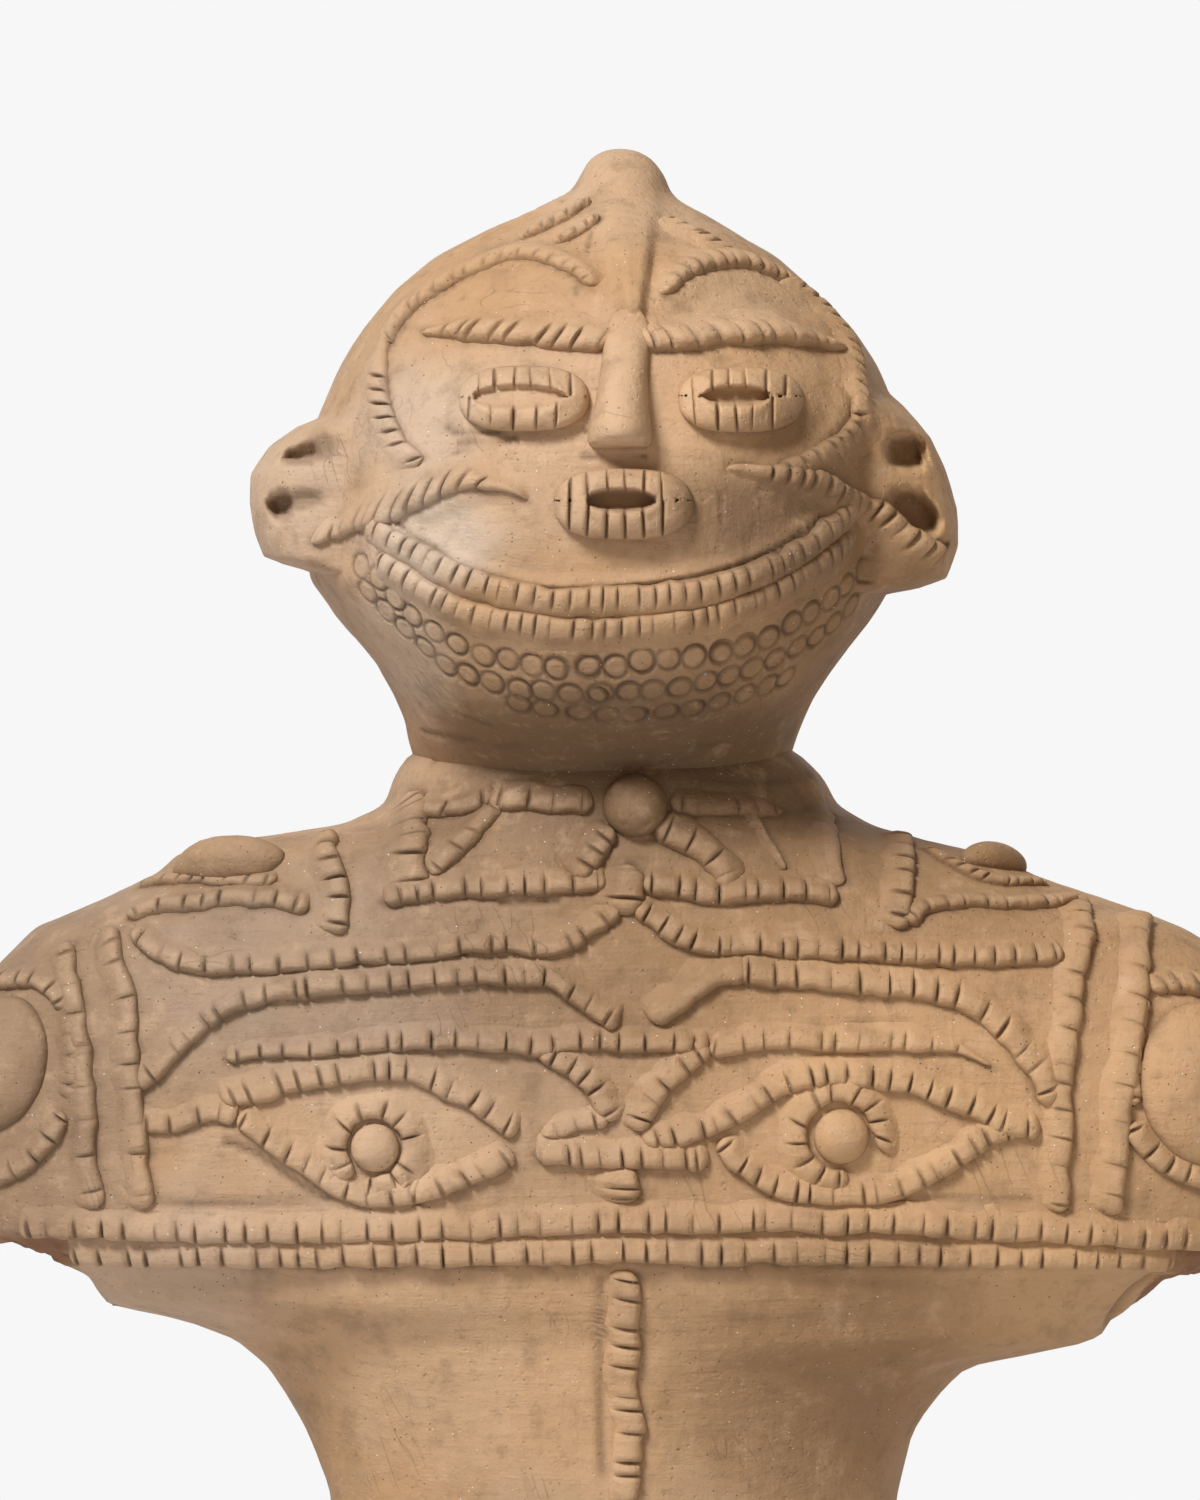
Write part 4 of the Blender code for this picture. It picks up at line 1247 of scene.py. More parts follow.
@dataclass(frozen=True)
class Ridge:
    """A ridge down the middle of the face: levels of height, x, half width and rise."""

    levels: Sequence[tuple[float, float, float, float]]
    rings: int = 70
    round_power: float = 0.8

    def add_to(self, batch: Batch, ground: Ground) -> None:
        """Add the ridge's skin to a batch."""
        levels = np.array(self.levels, float)
        run = np.concatenate([[0.0], np.cumsum(np.hypot(np.diff(levels[:, 0]), np.diff(levels[:, 3])))])
        along = np.linspace(0.0, run[-1], self.rings + 2)[1:-1]
        z, x, half, rise = (np.interp(along, run, column) for column in levels.T)
        for values in (half, rise):
            values[2:-2] = np.convolve(values, np.ones(5) / 5.0, mode="valid")
        turn = np.linspace(0.0, 2.0 * math.pi, 33)[:-1]
        across = np.sign(np.cos(turn)) * np.abs(np.cos(turn)) ** 0.9
        up = np.sign(np.sin(turn)) * np.abs(np.sin(turn)) ** self.round_power
        xs = x[:, None] + half[:, None] * across
        zs = np.repeat(z[:, None], len(turn), axis=1)
        ahead = up * np.where(up > 0.0, rise[:, None], 3.0 - np.minimum(rise, 0.0)[:, None])
        middle = ground.depths(x[:, None], z[:, None])
        y = middle - ahead
        grid = np.stack([xs, y, zs], axis=2)
        # Painted shade along the ridge's foot.
        low = 1.0 - ease(0.05, 0.4, np.maximum(up, 0.0))
        numbers = {"painted_shade_and_dark_marks": np.repeat(low[None, :] * 0.25, len(z), axis=0),
                   "proud": np.repeat(ease(0.8, 1.0, up)[None, :] * 0.5, len(z), axis=0)}
        batch.ball(grid, grid[0].mean(axis=0), grid[-1].mean(axis=0), numbers)
        for sign in (-1.0, 1.0):
            batch.spines.append((np.stack([x + sign * half, middle[:, 0], z], axis=1), 0.3))


FACE_CORDS = (
    Cord([(-36, 326.2), (-30, 327), (-22, 327), (-12, 326), (-2, 325.6)], 5.0, 2.4, 3.7, 30.0, 0.42, 0.6, 0.25,
         2.3, start_taper=0.2, bare=(5.0, 0.0)),
    Cord([(2, 325.6), (10, 325.5), (20, 326.5), (30, 326.2), (39, 324)], 5.0, 2.4, 3.9, -14.0, 0.42, 0.6, 0.3,
         2.3, end_taper=0.25, bare=(0.0, 4.0)),
    Cord([(-5, 335), (-9, 338.5), (-15, 340.8), (-20, 340.8), (-27, 338.5), (-34, 334.5), (-39, 331),
          (-42.8, 325)], 5.0, 1.5, 3.3, 20.0, 0.36, 0.6, 0.2, 2.5, start_taper=0.6, bite=0.62),
    Cord([(-42, 328), (-43.8, 321), (-44, 315), (-43, 310.5), (-40.5, 306.5), (-36.5, 303)], 5.4, 1.5, 3.4, 30.0,
         0.36, 0.7, 0.2, 2.2, True, start_taper=0.5, end_taper=0.7, bite=0.9, bare=(11.0, 0.0)),
    Cord([(6.5, 333.5), (9, 337), (14, 339.3), (20, 340), (26, 338), (31, 335)], 5.0, 1.9, 3.0, -15.0,
         0.40, 0.6, 0.35, 2.3, start_taper=0.6, end_taper=0.8, bite=0.85),
    Cord([(28, 336.6), (35, 331.0), (39, 325.5), (41, 319), (41.6, 314)], 4.8, 1.9, 2.8, -15.0, 0.36, 0.7, 0.35,
         2.0, start_taper=0.8, end_taper=0.8, bite=0.85),
    Cord([(42.2, 316), (41.5, 310), (38, 306.3), (33, 303.3), (28, 301.2)], 4.8, 1.7, 3.4, -15.0, 0.36, 0.6,
         0.35, 2.0, True, start_taper=0.7, bite=0.8),
    Cord([(-6, 350.5), (-12, 347), (-18, 343.8)], 3.4, 1.5, 2.6, 25.0, 0.36, 0.7, 0.3, end_taper=0.5),
    Cord([(-4.5, 347.6), (-9, 344.8), (-14, 341.8)], 3.2, 1.3, 2.4, 25.0, 0.36, 0.7, 0.3, end_taper=0.3),
    Cord([(-31, 340.8), (-26, 343.2), (-19, 346.6), (-11, 350.4)], 3.0, 0.8, 0.0, turned=True, start_taper=0.2),
    Cord([(6.5, 347.2), (11, 344.8), (16, 341.8), (20.5, 339)], 4.8, 1.6, 2.6, -24.0, 0.36, 0.6, 0.4,
         start_taper=0.7, end_taper=0.6, bite=0.8),
    Cord([(-17.5, 296.6), (-20.5, 299.0), (-28, 300.5), (-36, 298), (-44, 295), (-50, 292.5), (-56, 290)],
         5.4, 2.0, 3.5, 40.0, 0.40, 0.65, 0.2, 2.2, start_taper=0.12, end_taper=0.4, bare=(7.5, 1.0)),
    Cord([(18, 302.6), (26, 301.5), (32, 300), (38, 297.5), (44, 294.5), (50, 290), (56, 286.5)],
         5.2, 2.0, 3.0, 4.0, 0.36, 0.7, 0.35, 2.0, True, start_taper=0.25, bare=(5.5, 0.0)),
)
JAW_CORDS = (
    Cord([(-46, 292.5), (-40, 289), (-33, 284.8), (-25, 281.3), (-15, 279.3), (-5, 278.8), (5, 279.3),
          (15, 280.8), (25, 284), (32, 288), (38, 293), (41, 296)], 4.6, 1.7, 3.0, 6.0, 0.32, 0.6, 0.12, 1.4,
         True, wobble=0.15),
    Cord([(-44, 286.2), (-36, 281), (-28, 276.8), (-20, 274.8), (-10, 273.9), (0, 273.8), (10, 274.9),
          (18, 276.8), (26, 279.9), (34, 285), (40, 290)], 4.6, 1.4, 3.0, 6.0, 0.32, 0.65, 0.12, 1.9, True,
         wobble=0.15),
)
COLLAR_CORDS = (
    Cord([(-38.6, 244.5), (-38.8, 237), (-39.4, 231), (-39.2, 225.8)], 7.2, 1.5, 4.6, wobble=0.5),
    Cord([(-43, 225.5), (-38, 227), (-30, 227.8), (-20, 228.3), (-10, 228.5), (-3, 228.8)], 4.2, 1.7, 4.1),
    Cord([(3, 229), (8, 228.5), (15, 227.5), (22, 227.3), (30, 227), (38, 226.8)], 4.6, 1.8, 3.9),
    Cord([(-37, 242.5), (-30, 242.2), (-23, 244)], 4.4, 1.6, 5.2, wobble=0.5),
    Cord([(-24, 244.3), (-15, 243.6), (-5.5, 243.2)], 5.0, 1.6, 4.8, smear=1.3),
    Cord([(8, 243.6), (14, 242.8), (20, 242.2), (28, 241.8)], 4.4, 0.8, 4.6, depth=0.5, end_taper=0.4),
    Cord([(-23, 243), (-27, 238.5), (-32, 233.5), (-35, 230.5)], 4.6, 1.3, 4.2, depth=0.6, wobble=0.5,
         end_taper=0.6),
    Cord([(22, 242), (26, 235), (28.5, 231)], 2.2, 0.7, 0.0, smear=1.2, end_taper=0.5),
    Cord([(33, 247), (35, 240), (36, 232), (37, 228)], 5.2, 0.8, 0.0),
    Cord([(-3, 239), (-6, 234.8), (-9.5, 229.5)], 5.2, 1.8, 3.9, smear=1.3),
    Cord([(5.5, 239.5), (9.5, 237.6), (13.2, 235.6), (16.8, 231.8), (18.4, 227.4)], 6.0, 1.8, 4.8, depth=0.45,
         smear=1.25, wobble=0.5),
    Cord([(-0.5, 232), (-0.5, 222.8)], 8.0, 2.2, 4.6, depth=0.6, smear=1.3),
)
CHEST_CORDS = (
    Cord([(-1.5, 224.5), (-5, 221.8), (-10, 218.7), (-15, 217.7), (-25, 217.8), (-35, 217), (-45, 216),
          (-55, 215), (-65, 214.5), (-75, 214.3), (-82, 216), (-88, 219.5)], 3.9, 1.7, 4.5),
    Cord([(2, 224.5), (6, 222.3), (10, 219.8), (14, 218), (20, 217.6), (30, 217.3), (40, 217), (50, 216.5),
          (60, 216), (70, 215.8), (78, 216.5)], 4.2, 1.8, 3.5),
    Cord([(-1, 203.5), (-5, 206.8), (-9, 209.5), (-13, 212), (-17, 212.5), (-28, 212.3), (-40, 211.8),
          (-50, 211), (-60, 209.8), (-68, 208.5), (-73, 206), (-78, 201.5), (-82, 197.5), (-86, 194),
          (-89, 191.5)], 4.2, 1.8, 4.3),
    Cord([(4, 204.5), (8, 207), (12, 210), (17, 212.5), (22, 213)], 5.5, 1.8, 0.0),
    Cord([(20, 213), (28, 212.3), (36, 212), (44, 211.5), (52, 210.5), (58, 209), (63, 206.5), (68, 202.5),
          (72, 198), (75, 193), (76, 189)], 5.0, 1.8, 4.8),
    Cord([(-71, 197.5), (-65, 198.8), (-58, 199.3), (-50, 200), (-40, 200.8), (-30, 200.8), (-20, 200.5),
          (-15, 200), (-8, 200.8), (0, 200.5), (8, 200.5), (15, 199.8)], 4.0, 1.7, 4.4, start_taper=0.6),
    Cord([(15, 200), (20, 199.8), (25, 200.8), (35, 201), (45, 200.5), (55, 199.8), (60, 198.8),
          (65, 196)], 4.0, 1.6, 4.4, depth=0.5, end_taper=0.15, bare=(0.0, 6.0)),
    Cord([(-15, 199), (-10, 196.5), (-6, 193.5), (-3, 189), (-1.5, 186.5)], 4.4, 1.6, 3.8),
    Cord([(15, 199.5), (10, 196), (6, 192), (3, 188), (2, 184.5)], 4.6, 1.7, 4.2),
    Cord([(-88, 186), (-80, 187), (-74, 188), (-69, 187)], 4.0, 1.4, 4.4),
    Cord([(-72, 190), (-64, 192.5), (-58, 194), (-50, 195.3), (-42, 195.5), (-36, 194.5), (-30, 192),
          (-26, 189), (-22, 186), (-19, 184.5)], 4.6, 1.7, 4.0),
    Cord([(-69, 187), (-62, 182), (-55, 177.5), (-48, 173.5), (-40, 173.5), (-33, 174.5), (-26, 178),
          (-20, 181)], 4.2, 1.6, 4.2),
    Cord([(3, 183), (10, 184.5), (17, 186), (22, 189.5), (28, 193), (35, 194.8), (42, 194.8), (50, 193.5),
          (57, 191), (63, 188.5), (68, 186), (74, 185.5)], 4.6, 1.8, 3.7),
    Cord([(17, 183), (20, 179), (25, 176), (31, 174), (38, 173.5), (45, 174), (50, 175.5), (55, 178),
          (60, 181), (65, 184), (70, 185.3)], 4.4, 1.7, 3.8),
    Cord(arc_points(-44.5, 181.5, 7.3, 250.0, 590.0), 4.4, 1.8, 4.2),
    Cord([(-40, 176.5), (-37.5, 174.6), (-35, 173.4)], 3.8, 1.4, 3.4),
    Cord(arc_points(38.5, 183.5, 8.2, -20.0, 280.0), 4.4, 1.8, 3.8),
    Cord([(-16, 180.5), (-8, 180), (0, 180), (8, 179.7), (15, 180)], 4.5, 1.7, 3.4),
    Cord([(-15, 184), (-8, 186), (-3, 187)], 3.6, 1.2, 3.6, start_taper=0.5),
    Cord([(-0.5, 178.4), (-0.5, 171.6)], 7.0, 2.2, 2.6, depth=0.6),
)
BAR_CORDS = (
    Cord([(-92.5, 220), (-91, 215), (-89.5, 208), (-88.5, 200), (-88, 192), (-87.5, 185), (-87, 178),
          (-86, 170.5)], 4.4, 1.6, 6.0, depth=0.35),
    Cord([(-100, 217.5), (-99.5, 213), (-98.5, 205), (-97.5, 197), (-96.5, 188), (-96, 180),
          (-94.5, 170.5)], 4.4, 1.5, 6.0, depth=0.45),
    Cord([(81.3, 225.6), (81, 218), (80, 210), (78.5, 202), (77.5, 194), (77.5, 186), (77, 178),
          (77, 170)], 4.4, 1.6, 5.0, depth=0.4),
    Cord([(91.5, 222.6), (91.2, 216), (90.5, 208), (89.5, 200), (88.5, 190), (87.5, 180),
          (86.5, 169.5)], 4.8, 1.7, 6.0, depth=0.3),
    Cord([(-54, 236.8), (-53, 232), (-51.5, 226), (-51.5, 219.5)], 4.8, 1.7, 4.0),
    Cord([(-89, 222.5), (-84, 224.4), (-77, 225.3), (-70, 226), (-62, 226), (-56, 225)], 4.2, 1.5, 4.4),
    Cord([(49, 239), (49.5, 232), (49, 226), (48, 220.5)], 4.6, 1.6, 4.8),
    Cord([(50, 221.5), (53, 224), (60, 225.2), (67, 225.2), (74, 225), (80, 226)], 3.6, 1.4, 3.8, depth=0.55),
    Cord([(55, 234.5), (60, 231.3), (66, 229.2), (75, 228.6)], 3.2, 1.0, 2.8, 20.0),
    Cord([(-86, 228.4), (-80, 229.4), (-72, 229.2), (-62, 229.4)], 3.4, 1.1, 3.8),
)
ARM_CORDS = (
    Cord([(93, 210), (98, 211), (103, 210.5), (110, 209)], 4.2, 1.6, 4.2),
    Cord([(90, 186), (92.5, 182), (96, 179), (100, 177), (106, 175.5), (113, 175)], 4.2, 1.6, 4.2),
    Cord([(92.5, 208), (90.6, 202), (90, 195), (90.4, 189)], 3.6, 1.2, 4.2, depth=0.6),
    Cord([(-116, 210), (-111, 211), (-106, 211.5), (-102, 210), (-99.6, 206)], 4.2, 1.6, 4.0),
    Cord([(-100.5, 188), (-103, 184), (-106, 180), (-111, 177), (-117, 175.5)], 4.2, 1.6, 4.0),
    Cord([(-98.8, 204), (-98.2, 197), (-99, 190)], 3.6, 1.2, 4.2, depth=0.6),
)
HEM_CORDS = (
    Cord([(-108, 167.2), (-100, 167.5), (-80, 167), (-60, 166.8), (-40, 167), (-20, 168), (0, 168.5),
          (40, 168.5), (60, 167.5), (80, 166.5), (102, 165), (110, 164.4)], 4.6, 1.9, 4.4, wobble=0.15),
    Cord([(-99, 162.4), (-85, 162.3), (-60, 162.2), (-40, 162.5), (0, 163.2), (40, 162.8), (60, 162.2),
          (84, 161.6), (98, 161.2)], 4.7, 1.9, 4.4, wobble=0.15),
)
RIDGE_CORDS = (Cord([(0, 159.8), (0.1, 140), (0, 125), (0, 117)], 5.6, 2.0, 3.8, depth=0.6, smear=1.15),)
BACK_CORDS = (
    Cord([(-42, 291), (-20, 282), (0, 280), (20, 282), (42, 291)], 4.6, 1.5, 3.8, side=Side.BACK),
    Cord([(-38, 227), (-15, 226), (10, 225.5), (34, 227)], 4.3, 1.5, 4.2, side=Side.BACK),
    Cord([(-92, 220), (-50, 213), (0, 206), (50, 213), (88, 220)], 4.3, 1.5, 4.4, side=Side.BACK),
    Cord([(-90, 213), (-88, 192), (-88, 171)], 4.3, 1.5, 5.0, depth=0.5, side=Side.BACK),
    Cord([(86, 213), (84, 192), (84, 171)], 4.3, 1.5, 5.0, depth=0.5, side=Side.BACK),
    Cord([(-107, 167), (-50, 167.5), (0, 168), (50, 167.5), (107, 165.6)], 4.6, 1.7, 4.4, side=Side.BACK),
    Cord([(-97, 161.6), (-50, 162.2), (0, 162.6), (50, 162), (96, 161.2)], 4.6, 1.6, 4.4, side=Side.BACK),
)
BELTS = (
    Belt([(-2.0, 113.0)], 4.6, 1.6, 4.2),
    Belt([(-34.0, 20.0)], 4.4, 1.5, 4.4, reach=33.9),
    Belt([(34.0, 20.0)], 4.4, 1.5, 4.4, reach=33.9),
)
PADS = (
    Oval(-18.0, 314.7, 11.6, 5.9, 4.7, (-27.2, -10.8, 312.9, 317.2), (-26.0, -23.0, -19.8, -16.6, -13.0, -9.6),
         (-27.6, -23.6, -19.6, -15.6, -12.0), floor=0.42),
    Oval(20.6, 314.5, 11.2, 5.9, 4.7, (14.0, 25.8, 313.4, 317.0), (12.2, 15.5, 18.4, 21.6, 25.0, 28.4),
         (12.2, 16.4, 19.6, 22.8, 26.2), floor=0.66),
    Oval(-0.3, 295.9, 12.4, 6.4, 5.4, (-6.9, 5.4, 294.5, 298.6), (-9.8, -6.5, -3.0, 0.2, 3.2, 6.6),
         (-9.8, -6.4, -3.1, 0.0, 3.1, 6.7), floor=0.85),
)
FACE_RIDGES = (
    Ridge([(331.0, 0.6, 1.6, -0.6), (328.5, 0.6, 3.6, 1.4), (326, 0.4, 4.2, 3.1), (322, 0.0, 4.1, 4.4),
           (318, -0.3, 4.3, 5.8), (313, -0.6, 4.9, 7.7), (310, -0.8, 5.5, 8.6), (308.3, -0.9, 5.8, 8.2),
           (307.0, -0.9, 5.7, 6.6), (306.2, -0.9, 5.3, 3.4), (305.8, -0.9, 4.6, -0.6)], round_power=0.95),
)
LUMPS = (
    Boss(1.8, 242.4, 5.8, 5.2, 5.9),
    Boss(-44.5, 181.5, 4.4, 3.0, 4.4),
    Boss(38.5, 183.5, 5.0, 3.2, 5.0),
    Boss(-112.0, 196.5, 10.5, 4.2, 12.6),
    Boss(104.0, 193.0, 13.2, 4.6, 15.4),
    Boss(-71.0, 232.6, 12.0, 4.6, 5.0, 6.0),
    Boss(66.0, 232.3, 9.0, 3.6, 3.6, -14.0),
    Boss(0.0, 97.0, 6.0, 5.5, 6.0),
)


def relief_batches(ground: Ground) -> list[Batch]:
    """Lay every cord, pad, ridge and lump.

    Args:
        ground: the bare bodies.

    Returns:
        One batch for each region.
    """
    groups = {"face_cords": FACE_CORDS, "jaw_cords": JAW_CORDS, "collar_cords": COLLAR_CORDS,
              "chest_cords": CHEST_CORDS, "bar_cords": BAR_CORDS, "arm_cords": ARM_CORDS,
              "hem_cords": HEM_CORDS, "ridge_cord": RIDGE_CORDS, "belts": BELTS, "back_cords": BACK_CORDS}
    batches = []
    for number, (name, cords) in enumerate(groups.items()):
        batch = Batch(name)
        for k, cord in enumerate(cords):
            cord.add_to(batch, ground, 100 * number + k)
        batches.append(batch)
    for name, pieces in {"eyes_and_mouth": PADS, "nose_and_crest": FACE_RIDGES, "bosses": LUMPS}.items():
        batch = Batch(name)
        for piece in pieces:
            piece.add_to(batch, ground)
        batches.append(batch)
    return batches


@dataclass(frozen=True)
class Pit:
    """A bowl pressed into the clay: place, half sizes, lean in degrees and depth."""

    x: float
    z: float
    half_width: float
    half_height: float
    lean: float
    depth: float

    def press(self, points: np.ndarray) -> np.ndarray:
        """How deep the bowl is at each point of the front, 0 to 1."""
        lean = math.radians(self.lean)
        dx, dz = points[:, 0] - self.x, points[:, 2] - self.z
        u = (dx * math.cos(lean) + dz * math.sin(lean)) / self.half_width
        v = (-dx * math.sin(lean) + dz * math.cos(lean)) / self.half_height
        size = np.hypot(u, v) + 0.13 * Ripple(3.2, round(abs(self.z))).at(points)
        return (1.0 - ease(0.5, 1.1, size)) * (1.0 - ease(-14.5, -11.0, points[:, 1]))


@dataclass(frozen=True)
class Line:
    """A line drawn in the clay with a point."""

    path: Path
    width: float = 0.9
    depth: float = 0.45


EAR_PITS = (Pit(-57.4, 305.1, 4.0, 2.0, 12.0, 4.2), Pit(-54.0, 306.2, 3.4, 3.0, 12.0, 1.2),
            Pit(-61.2, 296.0, 2.9, 2.6, 20.0, 5.2), Pit(-57.4, 296.8, 4.6, 2.0, 5.0, 1.9),
            Pit(50.2, 305.4, 4.1, 3.4, -10.0, 6.5), Pit(51.6, 294.6, 5.6, 3.7, -42.0, 7.0),
            Pit(56.6, 289.0, 1.4, 0.9, 20.0, 1.8))
HEAD_LINES = (
    Line([(-31.5, 309.4), (-28, 308.4), (-23, 308.6), (-19, 307.4)], 0.9, 0.6),
    Line([(-29.5, 307.2), (-25, 306.6), (-20.5, 306.9)], 0.8, 0.4),
    Line([(-42, 327.4), (-38, 327.9), (-34, 326.6)], 0.8, 0.5),
    Line([(-41.5, 293.6), (-36, 289), (-30, 285), (-22, 282.2), (-12, 280.7), (0, 281.2), (10, 282.6),
          (18, 284.5), (26, 287.6), (33, 292), (38.4, 296.4)], 0.7, 0.55),
    Line([(24, 299.0), (33, 298.2), (38, 294.6)], 0.8, 0.35),
    Line([(17, 297.3), (17.2, 292.6)], 0.7, 0.3),
    Line([(-6, 344.5), (-7.5, 337), (-9, 333)], 0.8, 0.25),
    Line([(-33, 341.6), (-27, 344.6), (-19, 348.2), (-12, 351.0)], 1.0, 0.8),
    Line([(-36, 255.5), (-20, 253.0), (0, 252.2), (18, 253.2)], 1.2, 0.3),
    Line([(-30, 259.0), (-24, 256.6)], 1.0, 0.3),
    Line([(-7.5, 304.6), (-2, 303.8), (3.5, 304.2)], 0.8, 0.5),
    Line([(-7.0, 308.8), (-3, 309.6), (1.0, 308.9)], 0.7, 0.3),
)
CHEST_LINES = (
    Line([(-71, 182.6), (-66, 180.6), (-60, 176.4), (-55, 173.2), (-52.4, 172.2)], 1.3, 0.9),
    Line([(-85, 172.1), (-75, 171.6), (-65, 171.9), (-54, 172.2)], 1.2, 0.5),
    Line([(48, 171.9), (56, 172.4), (64, 172.1), (72, 172.3)], 1.2, 0.45),
    Line([(-4.2, 158), (-4.4, 140), (-4.0, 124)], 1.5, 0.4),
    Line([(-33, 214.2), (-15, 214.6)], 1.2, 0.3),
    Line([(-22, 225.0), (-12, 225.4)], 1.2, 0.5),
    Line([(40, 203.4), (52, 203.0)], 1.2, 0.3),
    Line([(-34, 250.5), (-20, 249.2), (0, 248.6), (16, 249.4)], 1.4, 0.4),
    Line([(-28, 247.6), (-14, 246.6)], 1.2, 0.3),
    Line([(12, 247.4), (26, 246.8), (33, 248)], 1.3, 0.35),
    # Painted shade: a dark crescent for the shaded inner wall seen past the right arm's broken rim.
    Line([(85.6, 147.6), (88.0, 152.6), (91.2, 156.4), (95.5, 159.2)], 2.4, 1.5),
)
PUNCH_ROWS = (
    [(-48.5, 286.5), (-44.5, 283), (-39, 277), (-31.5, 271.5), (-22, 268.6), (-12.3, 267.1), (-2, 267.5),
     (9, 268.5), (19.3, 270.2), (27.8, 273.4), (36.3, 279.2), (44.5, 285.8)],
    [(-47.5, 281.8), (-40.5, 275.2), (-32, 267.5), (-24, 264.2), (-14.5, 262.5), (-5, 262.1), (6.8, 263),
     (16.3, 264.7), (26.2, 268.2), (36, 273.8), (42, 279.8)],
    [(-21, 260.9), (-8.5, 258.6), (2.8, 258.5), (14.3, 260.1), (24, 263.2), (31, 266.6)],
)


FACE_OUTLINE: Path = (
    (1, 331), (-4, 332.5), (-10, 337.0), (-20, 339), (-27, 337), (-34, 333), (-40, 326), (-42.4, 318), (-42, 311),
    (-39, 306), (-34, 303), (-20, 299), (-28, 298), (-38, 294), (-42, 293.4), (-36, 289), (-30, 285),
    (-22, 282.2), (-12, 280.7), (0, 281.2), (10, 282.6), (18, 284.5), (26, 287.6), (33, 292), (37, 296.8),
    (28, 299.4), (24, 301), (33, 304.5), (39, 310), (40.6, 318), (38, 325), (33, 332), (26, 336.4), (20, 338.4),
    (14, 336.8), (7, 332.8))


def basin(outline: Path, points: np.ndarray, edge: float) -> np.ndarray:
    """How far points of the front lie inside an outline, from 0 at its edge to 1.

    Args:
        outline: corners of the outline.
        points: the points.
        edge: the width of the slope.

    Returns:
        The shares.
    """
    corners = np.array(outline, float)
    x, z = points[:, 0], points[:, 2]
    inside = np.zeros(len(points), bool)
    far = np.full(len(points), 1e9)
    for (ax, az), (bx, bz) in zip(corners, np.roll(corners, -1, axis=0)):
        crosses = (az > z) != (bz > z)
        inside ^= crosses & (x < (bx - ax) * (z - az) / (bz - az + 1e-12) + ax)
        length = (bx - ax) ** 2 + (bz - az) ** 2
        along = np.clip(((x - ax) * (bx - ax) + (z - az) * (bz - az)) / length, 0.0, 1.0)
        far = np.minimum(far, np.hypot(x - ax - along * (bx - ax), z - az - along * (bz - az)))
    return ease(0.0, edge, np.where(inside & (points[:, 1] < AXIS_Y), far, 0.0))


